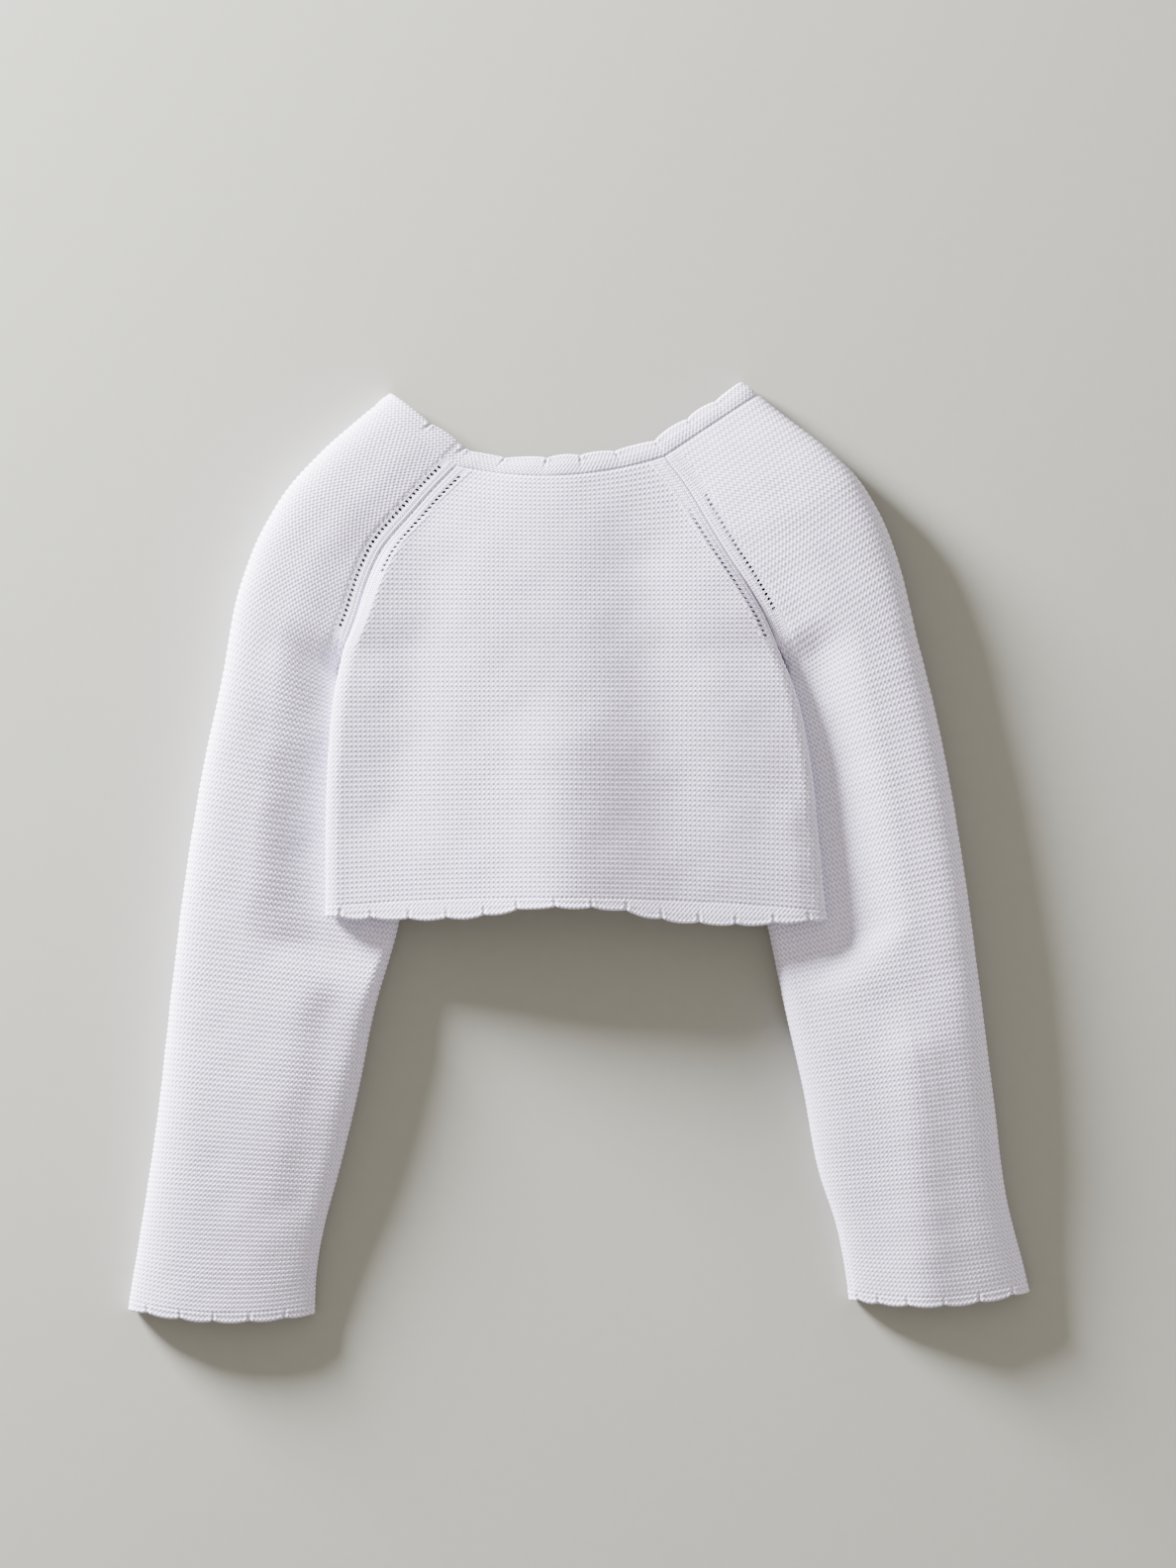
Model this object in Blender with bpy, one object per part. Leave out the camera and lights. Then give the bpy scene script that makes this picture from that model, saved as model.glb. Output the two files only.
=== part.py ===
"""A child's cropped raglan cardigan in fine garter stitch, laid on its front, back uppermost.

Frame: +Z up from the surface, +Y towards the neck, +X to the wearer's right. The origin is
under the middle of the garment. Lengths below are in millimetres and are scaled to metres
when a mesh is made.

Every piece is a wall of cloth. Its outer points come from sections worked out from the
tables, and its inner points lie one wall thickness inside them. Pieces that are joined
meet along one shared seam curve and stop SEAM_GAP apart.
"""
import math
from collections import namedtuple

import bmesh
import bpy
import numpy as np

MM = 0.001
WALL = 1.8
SEAM_GAP = 0.3
RAGLAN_GAP = 0.4
EDGING_GAP = 0.5

# Shade of the cotton on each kind of piece: linear colour, roughness.
KNIT_WHITE = (0.80, 0.79, 0.83)
BORDER_WHITE = (0.78, 0.77, 0.81)
KNIT_ROUGHNESS = 0.92

# Scalloped edgings.
LOBE_PITCH = 15.3
LOBE_DEPTH = 1.4
LOBE_COLUMNS = 4
LOBE_FULLNESS = 0.6
# Where the first notch comes along a hem or cuff, as a share of a lobe.
LOBE_START = 0.5
HEM_EDGING = 4.6
CUFF_EDGING = 4.6
NECK_BORDER = 9.0

# Raglan line: at five places from the seam to the edge of the band, the plain wales stand
# proud and the row of eyelets lies sunk.
RAGLAN_RELIEF = (0.0, 0.30, 0.35, -0.30, 0.0)
RAGLAN_BAND = 7.0

Point = namedtuple("Point", "x y")
Seam = namedtuple("Seam", "x y z")

# Outer fold of each sleeve as laid, from the cuff to the neck.
FOLD_LEFT = (
    Point(-190.9, -189.6), Point(-185.9, -159.4), Point(-179.6, -117.4), Point(-172.8, -58.6),
    Point(-167.8, -16.6), Point(-159.8, 33.8), Point(-151.0, 75.8), Point(-144.7, 109.4),
    Point(-136.3, 132.5), Point(-125.4, 151.4), Point(-109.4, 169.5), Point(-94.3, 182.9),
    Point(-87.2, 188.8),
)
FOLD_RIGHT = (
    Point(189.2, -182.0), Point(179.6, -142.6), Point(175.4, -109.0), Point(169.0, -58.6),
    Point(162.3, -8.2), Point(156.9, 25.4), Point(150.2, 59.0), Point(141.8, 92.6),
    Point(133.4, 126.2), Point(126.6, 143.0), Point(118.2, 156.9), Point(105.2, 170.0),
    Point(88.0, 183.4), Point(75.2, 193.6),
)

# Inner fold of each sleeve, from the cuff up to the underarm; its upper part runs under the body.
UNDERARM_LEFT = (
    Point(-112.4, -191.3), Point(-111.5, -176.2), Point(-108.6, -159.4), Point(-101.9, -134.0),
    Point(-93.9, -100.6), Point(-87.2, -67.0), Point(-76.6, -28.8), Point(-73.0, 0.0),
    Point(-73.0, 25.0), Point(-79.0, 46.0), Point(-91.0, 62.0), Point(-101.0, 74.5),
    Point(-101.4, 84.2),
)
UNDERARM_RIGHT = (
    Point(113.2, -185.4), Point(111.9, -176.2), Point(108.6, -159.4), Point(100.6, -134.2),
    Point(94.3, -100.6), Point(86.7, -67.0), Point(78.6, -28.8), Point(72.0, 0.0),
    Point(70.0, 25.0), Point(72.0, 46.0), Point(78.5, 62.0), Point(87.6, 74.5),
    Point(86.0, 84.2),
)

# Side fold of the body, from the hem up to the underarm.
SIDE_LEFT = (
    Seam(-107.7, -22.5, 16.4), Seam(-107.7, 4.4, 16.4), Seam(-106.5, 42.2, 16.4),
    Seam(-103.9, 68.0, 16.0), Seam(-100.6, 84.2, 15.4),
)
SIDE_RIGHT = (
    Seam(103.6, -24.5, 16.4), Seam(100.8, 4.4, 16.4), Seam(96.6, 42.2, 16.4),
    Seam(90.8, 68.0, 16.0), Seam(84.5, 84.2, 15.4),
)

# Back raglan seams, from the underarm to the neck, on the upper layer.
BACK_RAGLAN_LEFT = (
    Seam(-100.6, 84.2, 15.4), Seam(-97.5, 99.0, 15.6), Seam(-92.6, 113.6, 15.6),
    Seam(-85.5, 126.6, 15.2), Seam(-71.6, 142.6, 14.2), Seam(-61.1, 154.4, 12.8),
    Seam(-52.3, 163.4, 11.4),
)
BACK_RAGLAN_RIGHT = (
    Seam(84.5, 84.2, 15.4), Seam(78.2, 99.0, 15.6), Seam(70.8, 112.5, 15.6),
    Seam(62.4, 125.6, 15.4), Seam(54.2, 139.0, 14.6), Seam(45.6, 153.6, 13.0),
    Seam(35.5, 167.2, 11.6),
)

# Front raglan seams, from the underarm to the lower front neck, on the layer that rests.
FRONT_RAGLAN_LEFT = (
    Seam(-100.6, 84.2, 7.4), Seam(-95.5, 98.0, 3.4), Seam(-88.5, 112.0, 0.4),
    Seam(-79.0, 127.0, 0.0), Seam(-68.0, 143.0, 0.0),
)
FRONT_RAGLAN_RIGHT = (
    Seam(84.5, 84.2, 7.4), Seam(79.0, 98.0, 3.4), Seam(72.0, 112.0, 0.4),
    Seam(63.5, 127.0, 0.0), Seam(53.5, 143.0, 0.0),
)

# A sleeve at fractions of its length, from the cuff to the neck. crest is its greatest height
# and crest_at the place of it across the sleeve, measured from the outer fold. shelf_at is
# where the upper layer has come down to the inner fold. top and under are the heights of the
# inner fold. pressed is 1 where the body lies on the sleeve or the seam holds it, curl is 1
# where the inner fold closes round, and squareness is 1 for an elliptic outer side and less
# for one that stands up sooner.
SleeveRow = namedtuple(
    "SleeveRow", "at crest crest_at shelf_at top under pressed curl squareness")
SLEEVE_ROWS = (
    SleeveRow(0.000, 11.6, 0.38, 0.95, 8.0, 0.0, 0.0, 1.0, 0.90),
    SleeveRow(0.100, 14.4, 0.32, 0.95, 9.4, 0.0, 0.0, 1.0, 0.70),
    SleeveRow(0.250, 17.2, 0.30, 0.90, 11.2, 0.0, 0.0, 1.0, 0.58),
    SleeveRow(0.340, 17.4, 0.30, 0.80, 12.0, 0.0, 0.2, 1.0, 0.46),
    SleeveRow(0.405, 17.6, 0.28, 0.66, 12.4, 0.0, 1.0, 1.0, 0.46),
    SleeveRow(0.560, 17.6, 0.28, 0.64, 12.4, 0.0, 1.0, 1.0, 0.46),
    SleeveRow(0.640, 17.6, 0.30, 0.70, 12.4, 0.0, 1.0, 1.0, 0.46),
    SleeveRow(0.700, 17.6, 0.34, 0.80, 12.3, 0.4, 1.0, 1.0, 0.46),
    SleeveRow(0.735, 17.6, 0.40, 0.94, 12.3, 2.8, 1.0, 1.0, 0.46),
    SleeveRow(0.757, 17.6, 0.44, 0.99, 15.4, 7.4, 1.0, 0.0, 0.46),
    SleeveRow(0.860, 17.2, 0.46, 1.00, 15.2, 0.0, 1.0, 0.0, 0.48),
    SleeveRow(0.940, 15.0, 0.50, 1.00, 13.4, 0.0, 1.0, 0.0, 0.55),
    SleeveRow(1.000, 12.2, 0.50, 1.00, 11.4, 0.0, 1.0, 0.0, 0.70),
)
UNDERARM_AT = 0.757
OUTER_FOLD = 4.6
INNER_FOLD = 4.4
UNDER_LIFT_SPAN = 14.0
CUFF_BOW = 4.2
CUFF_BOW_REACH = 0.10
CREASE_MARGIN = 12.0

# The body at fractions from the hem (-1) through the underarm (0) to the neck (1). rise is
# how far the ridge beside the seam stands above it, curl is 1 where the side fold closes
# round, centre is the height of the back along its middle, bow lifts the middle of a row of
# the back, shelf is the underside of a front where it lies on a sleeve, front_y is where a
# row meets the centre front, and scoop lowers the middle of a front's row.
BodyRow = namedtuple("BodyRow", "at rise curl centre bow shelf front_y scoop")
BODY_ROWS = (
    BodyRow(-1.00, 3.0, 1.0, 27.5, 4.5, 13.2, -16.5, 0.0),
    BodyRow(-0.75, 3.0, 1.0, 26.0, 3.0, 13.2, 4.0, 0.0),
    BodyRow(-0.40, 3.2, 1.0, 23.6, 1.0, 13.0, 33.0, 0.0),
    BodyRow(-0.15, 3.4, 1.0, 22.0, 0.2, 12.9, 52.0, 0.5),
    BodyRow(0.00, 3.0, 1.0, 21.2, 0.0, 12.9, 60.0, 1.0),
    BodyRow(0.15, 2.6, 0.8, 20.4, 0.0, 3.0, 67.0, 2.0),
    BodyRow(0.32, 1.6, 0.4, 19.2, -0.4, 0.4, 75.0, 3.5),
    BodyRow(0.50, 0.6, 0.0, 17.8, -1.4, 0.0, 83.0, 5.5),
    BodyRow(0.75, 0.0, 0.0, 15.8, -4.0, 0.0, 92.0, 8.5),
    BodyRow(1.00, 0.0, 0.0, 13.6, -6.2, 0.0, 100.0, 11.0),
)
SIDE_FOLD = 6.0
FRONT_EDGE_LEFT = -5.0
FRONT_EDGE_RIGHT = -1.0
SHELF_MARGIN = 1.5
SHELF_REACH = 12.0
SHELF_RAMP = 20.0
LEAST_FOLD = 2.4

# Soft creases of the upper layer, each a straight ridge (+) or trough (-) that fades out at
# its ends.
Crease = namedtuple("Crease", "x0 y0 x1 y1 width height")
BODY_CREASES = (
    Crease(-62.0, 116.0, -80.0, 36.0, 11.0, -1.2),
    Crease(24.0, 120.0, 35.0, 30.0, 20.0, -2.1),
    Crease(-3.0, 14.0, -1.0, -40.0, 15.0, 1.9),
)
SLEEVE_CREASES = (
    Crease(-131.0, 64.0, -110.0, -44.0, 12.0, -1.1),
    Crease(-106.0, -62.0, -120.0, -146.0, 9.0, -0.8),
    Crease(141.0, -84.0, 146.0, -186.0, 13.0, 1.8),
)

SLEEVE_SECTIONS = 27
BODY_SECTIONS_BELOW = 9
BODY_SECTIONS_ABOVE = 11


# ---- reading the tables -------------------------------------------------------------------

CURVE_STEPS = 24


def smooth(at, places, values):
    """Read a table smoothly at one place, without overshooting its rows."""
    places = np.asarray(places, float)
    values = np.asarray(values, float)
    steps = np.diff(values) / np.diff(places)
    slopes = np.empty_like(values)
    slopes[0], slopes[-1] = steps[0], steps[-1]
    for i in range(1, len(values) - 1):
        before, after = steps[i - 1], steps[i]
        slopes[i] = 2 * before * after / (before + after) if before * after > 0 else 0.0
    i = int(np.clip(np.searchsorted(places, at) - 1, 0, len(places) - 2))
    span = places[i + 1] - places[i]
    t = (at - places[i]) / span
    blend = t * t * (3 - 2 * t)
    lift = t * (1 - t) * span
    return (values[i] * (1 - blend) + values[i + 1] * blend
            + lift * ((1 - t) * slopes[i] - t * slopes[i + 1]))


def column(rows, name, at):
    """One named column of a table, read at a fraction along it."""
    return smooth(at, [row.at for row in rows], [getattr(row, name) for row in rows])


def curve(points):
    """A smooth curve through points, as a function of the fraction of its length."""
    points = np.asarray(points, float)
    chords = np.linalg.norm(np.diff(points[:, :2], axis=0), axis=1)
    places = np.concatenate([[0.0], np.cumsum(chords)])
    tangents = np.gradient(points, places, axis=0)
    stretches = []
    for i, chord in enumerate(chords):
        t = np.linspace(0.0, 1.0, CURVE_STEPS, endpoint=False)[:, None]
        ends = points[i] * (1 + 2 * t) * (1 - t) ** 2 + points[i + 1] * t * t * (3 - 2 * t)
        turn = (1 - t) * tangents[i] - t * tangents[i + 1]
        stretches.append(ends + chord * t * (1 - t) * turn)
    path = np.vstack(stretches + [points[-1:]])
    lengths = np.concatenate([[0.0], np.cumsum(np.linalg.norm(np.diff(path, axis=0), axis=1))])
    lengths /= lengths[-1]

    def at(fraction):
        return np.array([np.interp(fraction, lengths, path[:, k])
                         for k in range(path.shape[1])])
    return at


def ease(t):
    """A soft step from 0 to 1."""
    t = np.clip(t, 0.0, 1.0)
    return t * t * (3 - 2 * t)


def crease_height(creases, places):
    """How far the soft creases lift or lower the cloth at each place."""
    total = np.zeros(len(places))
    for crease in creases:
        run = np.array([crease.x1 - crease.x0, crease.y1 - crease.y0])
        away = places[:, :2] - (crease.x0, crease.y0)
        length = np.linalg.norm(run)
        along = away @ run / length ** 2
        across = (away[:, 0] * run[1] - away[:, 1] * run[0]) / length
        past = np.maximum(0.0, np.maximum(-along, along - 1.0)) * length
        total += crease.height * np.exp(-(across ** 2 + past ** 2) / crease.width ** 2)
    return total


# ---- section curves -----------------------------------------------------------------------

FOLD_STEPS = 24
HELD_STEPS = 8.0


def quarter(width, drop, curl, count):
    """The turn of a fold, from its outermost point to where it lies flat: the distance in
    from that point and the height still to go. With no curl it is a soft slope."""
    phi = np.linspace(0.0, math.pi / 2, count)
    inward = width * (1 - np.cos(phi))
    left = curl * (1 - np.sin(phi)) + (1 - curl) * (1 - ease(inward / width))
    return inward, drop * left


def inset(run, height, depth, curl_start, curl_end):
    """A section curve moved to its left by a depth. Where an end doesn't curl, the move is
    straight up or down there, so that joined pieces have matching edges."""
    run_step, height_step = np.gradient(run), np.gradient(height)
    size = np.hypot(run_step, height_step)
    side, up = -height_step / size, run_step / size
    steps = np.arange(len(run))
    for curl, end, away in ((curl_start, 0, steps), (curl_end, -1, steps[::-1])):
        held = (1 - curl) * np.exp(-(away / HELD_STEPS) ** 2)
        side = side * (1 - held)
        up = up * (1 - held) + np.sign(up[end]) * held
    size = np.hypot(side, up)
    return run + depth * side / size, height + depth * up / size


# ---- sleeves ------------------------------------------------------------------------------

SLOPE_STEPS, DOME_STEPS = 30, 36
UNDER_FOLD_STEPS, UNDER_FLAT_STEPS, UNDER_END_STEPS = 13, 15, 14
SLEEVE_RELIEF_REACH = 0.04
# The points of a finely drawn section that the solid keeps, closer together at the folds.
SLEEVE_PICKS = np.array((0, 8, 14, 19, 23, 28, 33, 38, 43, 48, 53, 60, 67, 73, 79, 84, 89,
                         93, 97, 101, 105, 110, 115, 119, 122, 125, 128))


def upper_profile(fraction, width, top, under, curl):
    """The upper layer of a sleeve section, from its inner end to the outer fold. The run is
    measured from the outer fold."""
    crest = column(SLEEVE_ROWS, "crest", fraction)
    crest_run = column(SLEEVE_ROWS, "crest_at", fraction) * width
    shelf_run = column(SLEEVE_ROWS, "shelf_at", fraction) * width
    pressed = column(SLEEVE_ROWS, "pressed", fraction)
    squareness = column(SLEEVE_ROWS, "squareness", fraction)
    radius = (top - under - SEAM_GAP) / 2
    fold = INNER_FOLD if curl > 0.5 else RAGLAN_BAND

    inward, to_go = quarter(fold, radius * curl, curl, FOLD_STEPS)
    slope_run = np.linspace(width - fold, crest_run, SLOPE_STEPS + 1)[1:]
    down = np.clip((slope_run - crest_run) / (shelf_run - crest_run), 0.0, 1.0)
    slope_height = top + (crest - top) * (0.5 + 0.5 * np.cos(math.pi * down))
    run = np.concatenate([width - inward, slope_run])
    height = np.concatenate([top - to_go, slope_height])

    turn = np.linspace(0.0, math.pi / 2, len(run))
    middle = (top + under + SEAM_GAP) / 2
    free_run = width - (width - crest_run) * (1 - np.cos(turn) ** squareness)
    free_height = middle + (crest - middle) * np.sin(turn) ** squareness
    run = run * pressed + free_run * (1 - pressed)
    height = height * pressed + free_height * (1 - pressed)

    dome = np.linspace(math.pi / 2, 0.0, DOME_STEPS + 1)[1:]
    dome_run = crest_run * (1 - np.cos(dome) ** squareness)
    dome_height = OUTER_FOLD + (crest - OUTER_FOLD) * np.sin(dome) ** squareness
    return np.concatenate([run, dome_run]), np.concatenate([height, dome_height])


def under_profile(width, top, under, curl):
    """The layer that rests, from the outer fold to the inner end."""
    radius = (top - under - SEAM_GAP) / 2
    fold = INNER_FOLD if curl > 0.5 else RAGLAN_BAND
    turn = np.linspace(0.0, math.pi / 2, UNDER_FOLD_STEPS)[1:]
    fold_run, fold_height = OUTER_FOLD * (1 - np.cos(turn)), OUTER_FOLD * (1 - np.sin(turn))
    flat_run = np.linspace(OUTER_FOLD, width - fold, UNDER_FLAT_STEPS)[1:]
    inward, to_go = quarter(fold, radius * curl, curl, UNDER_END_STEPS)
    run = np.concatenate([fold_run, flat_run, (width - inward)[::-1][1:]])
    height = np.concatenate([fold_height, 0 * flat_run, to_go[::-1][1:]])
    return run, height + under * ease(1 - (width - run) / UNDER_LIFT_SPAN)


def sleeve_section(fraction, start, upper_end, under_end):
    """Outer and inner points of one section, from the upper layer's inner end over the
    crest, round the outer fold and back along the underside."""
    curl = column(SLEEVE_ROWS, "curl", fraction)
    top, under = upper_end[2], under_end[2]
    reaches = [end[:2] - start for end in (upper_end, under_end)]
    widths = [np.linalg.norm(reach) - RAGLAN_GAP / 2 for reach in reaches]
    upper_run, upper_height = upper_profile(fraction, widths[0], top, under, curl)
    under_run, under_height = under_profile(widths[1], top, under, curl)
    run = np.concatenate([upper_run, under_run])
    height = np.concatenate([upper_height, under_height])
    way = np.vstack([np.tile(reach / np.linalg.norm(reach), (len(part), 1))
                     for reach, part in zip(reaches, (upper_run, under_run))])
    inner_run, inner_height = inset(run, height, WALL, curl, curl)

    # Creases move both faces of the upper layer, and fade out towards its folds.
    margin = np.minimum(upper_run, widths[0] - upper_run) / CREASE_MARGIN
    places = start + way[:len(upper_run)] * upper_run[:, None]
    lift = np.zeros(len(run))
    lift[:len(upper_run)] = crease_height(SLEEVE_CREASES, places) * ease(margin)

    # The cuff bows a little out of straight across its middle.
    share = run / np.where(np.arange(len(run)) < len(upper_run), *widths)
    bow = CUFF_BOW * 4 * share * (1 - share) * ease(1 - fraction / CUFF_BOW_REACH)
    across = reaches[0] / np.linalg.norm(reaches[0])
    along = np.array([-across[1], across[0]])
    along = along if along[1] < 0 else -along
    shift = along * bow[:, None]

    picks = SLEEVE_PICKS
    outer = np.column_stack([start + way * run[:, None] + shift, height + lift])[picks]
    inner = np.column_stack([start + way * inner_run[:, None] + shift,
                             inner_height + lift])[picks]
    raised = float(ease((fraction - UNDERARM_AT) / SLEEVE_RELIEF_REACH))
    outer[:len(RAGLAN_RELIEF), 2] += np.array(RAGLAN_RELIEF) * raised
    return outer, inner


def sleeve(fold_points, underarm_points, back_raglan, front_raglan):
    """The grids of a sleeve: one section for each row, from the cuff to the neck."""
    fold_line, underarm = curve(fold_points), curve(underarm_points)
    sections = []
    for fraction in np.linspace(0.0, 1.0, SLEEVE_SECTIONS):
        if fraction < UNDERARM_AT:
            plan = underarm(fraction / UNDERARM_AT)
            upper_end = np.array([*plan, column(SLEEVE_ROWS, "top", fraction)])
            under_end = np.array([*plan, column(SLEEVE_ROWS, "under", fraction)])
        else:
            t = (fraction - UNDERARM_AT) / (1 - UNDERARM_AT)
            upper_end, under_end = back_raglan(t), front_raglan(t)
        sections.append(sleeve_section(fraction, fold_line(fraction), upper_end, under_end))
    outer, inner = zip(*sections)
    return np.array(outer), np.array(inner)


# ---- body ---------------------------------------------------------------------------------

BACK_MIDDLE_STEPS, FRONT_MIDDLE_STEPS = 90, 70
BACK_HUMP_POWER = 1.4
BODY_RELIEF_REACH = 0.15
UNDERARM_LINE_STEPS = 200
BACK_PICKS = np.array((0, 8, 14, 19, 23, 29, 35, 41, 47, 53, 59, 65, 71, 77, 83, 89, 95, 101,
                       107, 113, 117, 122, 128, 136))
FRONT_PICKS = np.array((0, 8, 14, 19, 23, 30, 37, 44, 51, 58, 65, 72, 79, 86, 93))


def body_sections():
    """Fractions from the hem (-1) through the underarm (0) to the neck (1)."""
    below = np.linspace(-1.0, 0.0, BODY_SECTIONS_BELOW)
    above = np.linspace(0.0, 1.0, BODY_SECTIONS_ABOVE)
    return np.concatenate([below, above[1:]])


def seam_point(side, raglan, at):
    """A point of the body's edge: on the side fold below the underarm, on the raglan above."""
    return side(1.0 + at) if at <= 0 else raglan(at)


def back(side_left, side_right, raglan_left, raglan_right):
    """The grids of the back: one section for each row, from the hem to the neck."""
    sections = []
    for at in body_sections():
        left = seam_point(side_left, raglan_left, at)
        right = seam_point(side_right, raglan_right, at)
        curl, rise = column(BODY_ROWS, "curl", at), column(BODY_ROWS, "rise", at)
        centre, bow = column(BODY_ROWS, "centre", at), column(BODY_ROWS, "bow", at)
        gap = np.array([RAGLAN_GAP / 2 * (1 - curl), 0.0, SEAM_GAP / 2 * curl])
        start, end = left + gap, right + gap * (-1, 0, 1)
        width = np.linalg.norm(end[:2] - start[:2])
        fold = SIDE_FOLD * curl + RAGLAN_BAND * (1 - curl)
        inward, to_go = quarter(fold, rise, curl, FOLD_STEPS)
        middle = np.linspace(fold, width - fold, BACK_MIDDLE_STEPS + 1)[1:-1]
        share = (middle - fold) / (width - 2 * fold)
        ridges = [start[2] + rise, end[2] + rise]
        hump = centre - sum(ridges) / 2
        run = np.concatenate([inward, middle, (width - inward)[::-1]])
        height = np.concatenate([ridges[0] - to_go,
                                 ridges[0] + (ridges[1] - ridges[0]) * share
                                 + hump * np.sin(math.pi * share) ** BACK_HUMP_POWER,
                                 (ridges[1] - to_go)[::-1]])
        inner_run, inner_height = inset(run, height, -WALL, curl, curl)
        way = (end[:2] - start[:2]) / width
        part = run / width
        shift = np.column_stack([0 * part, bow * 4 * part * (1 - part)])
        places = start[:2] + way * run[:, None] + shift
        lift = crease_height(BODY_CREASES, places)
        lift *= ease(np.minimum(run, width - run) / CREASE_MARGIN)
        outer = np.column_stack([places, height + lift])[BACK_PICKS]
        inner_places = start[:2] + way * inner_run[:, None] + shift
        inner = np.column_stack([inner_places, inner_height + lift])[BACK_PICKS]
        relief = np.array(RAGLAN_RELIEF) * float(ease(at / BODY_RELIEF_REACH))
        outer[:len(relief), 2] += relief
        outer[-len(relief):, 2] += relief[::-1]
        sections.append((outer, inner))
    outer, inner = zip(*sections)
    return np.array(outer), np.array(inner)


def front(side, raglan, underarm_points, edge_x):
    """A front panel, from its side and raglan seams to the centre front. It rests on the
    surface and rises over the sleeve that lies below its side."""
    inner_fold = curve(underarm_points)(np.linspace(0.0, 1.0, UNDERARM_LINE_STEPS)).T
    sections = []
    for at in body_sections():
        seam = seam_point(side, raglan, at)
        curl, shelf = column(BODY_ROWS, "curl", at), column(BODY_ROWS, "shelf", at)
        if at > 0:
            curl, shelf = 0.0, seam[2]
        start = seam - np.array([0.0, 0.0, SEAM_GAP / 2 * curl])
        reach = np.array([edge_x, column(BODY_ROWS, "front_y", at)]) - start[:2]
        length = np.linalg.norm(reach)
        way = reach / length
        start[:2] += way * RAGLAN_GAP / 2 * (1 - curl)
        length -= RAGLAN_GAP / 2 * (1 - curl)
        near = np.abs(inner_fold[:, 1] - start[1]) < SHELF_REACH
        inside = (inner_fold[near, 0] - start[0]) * np.sign(way[0])
        covered = np.max(inside, initial=0.0)
        covered *= float(at < 0)
        drop = start[2] - shelf
        fold = min(SIDE_FOLD, max(LEAST_FOLD, drop))
        inward, to_go = quarter(fold, drop, curl, FOLD_STEPS)
        middle = np.linspace(fold, length, FRONT_MIDDLE_STEPS + 1)[1:]
        run = np.concatenate([inward, middle])
        height = shelf * (1 - ease((run - covered - SHELF_MARGIN) / SHELF_RAMP))
        height[:FOLD_STEPS] += to_go
        inner_run, inner_height = inset(run, height, WALL, curl, 0.0)
        share = run / length
        scoop = column(BODY_ROWS, "scoop", at) * 4 * share * (1 - share)
        shift = np.column_stack([0 * scoop, -scoop])
        places = start[:2] + way * run[:, None] + shift
        inner_places = start[:2] + way * inner_run[:, None] + shift
        outer = np.column_stack([places, height])[FRONT_PICKS]
        inner = np.column_stack([inner_places, inner_height])[FRONT_PICKS]
        sections.append((outer, inner))
    outer, inner = zip(*sections)
    return np.array(outer), np.array(inner)


# ---- edgings ------------------------------------------------------------------------------

WAY_SMOOTHINGS = 3


def edge_line(grids, last, reverse=False):
    """The end row of a panel, and the way its cloth would go on past it."""
    outer, inner = grids
    row, before = (-1, -2) if last else (0, 1)
    ways = outer[row] - outer[before]
    ways /= np.linalg.norm(ways, axis=1)[:, None]
    line = [outer[row], inner[row], ways]
    return [part[::-1] for part in line] if reverse else line


def join_lines(*lines):
    """Several panel edges, one after the other, as one edge."""
    return [np.vstack(parts) for parts in zip(*lines)]


def edging(line, width, lobe_start=0.0):
    """A scalloped strip that carries on from the edge of a panel or a ring of panels."""
    outer, inner, ways = line
    steps = np.linalg.norm(np.diff((outer + inner) / 2, axis=0), axis=1)
    places = np.concatenate([[0.0], np.cumsum(steps)]) / steps.sum()
    lobes = max(1, round(steps.sum() / LOBE_PITCH))
    fractions = np.linspace(0.0, 1.0, lobes * LOBE_COLUMNS + 1)
    base_outer, base_inner, way = [
        np.column_stack([np.interp(fractions, places, axis) for axis in points.T])
        for points in (outer, inner, ways)]
    soft = way.copy()
    for _ in range(WAY_SMOOTHINGS):
        soft[1:-1] = (soft[:-2] + 2 * soft[1:-1] + soft[2:]) / 4
    soft /= np.linalg.norm(soft, axis=1)[:, None]
    swing = np.abs(np.sin(math.pi * (fractions * lobes + lobe_start)))
    reach = width - LOBE_DEPTH * (1 - swing ** LOBE_FULLNESS)
    grids = []
    for base in (base_outer, base_inner):
        start = base + way * EDGING_GAP
        grids.append(np.array([start, start + soft * (reach / 2)[:, None],
                               start + soft * reach[:, None]]))
    # The strip rests on the surface and doesn't go below it.
    sunk = np.minimum(0.0, grids[0][:, :, 2])
    for grid in grids:
        grid[:, :, 2] -= sunk
    return grids


# ---- solids -------------------------------------------------------------------------------

SHARP_ANGLE = math.radians(50)


def cloth_material(name, colour):
    material = bpy.data.materials.new(name + "_cotton")
    material.use_nodes = True
    shader = material.node_tree.nodes["Principled BSDF"]
    shader.inputs["Base Color"].default_value = (*colour, 1.0)
    shader.inputs["Roughness"].default_value = KNIT_ROUGHNESS
    shader.inputs["Metallic"].default_value = 0.0
    return material


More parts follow.
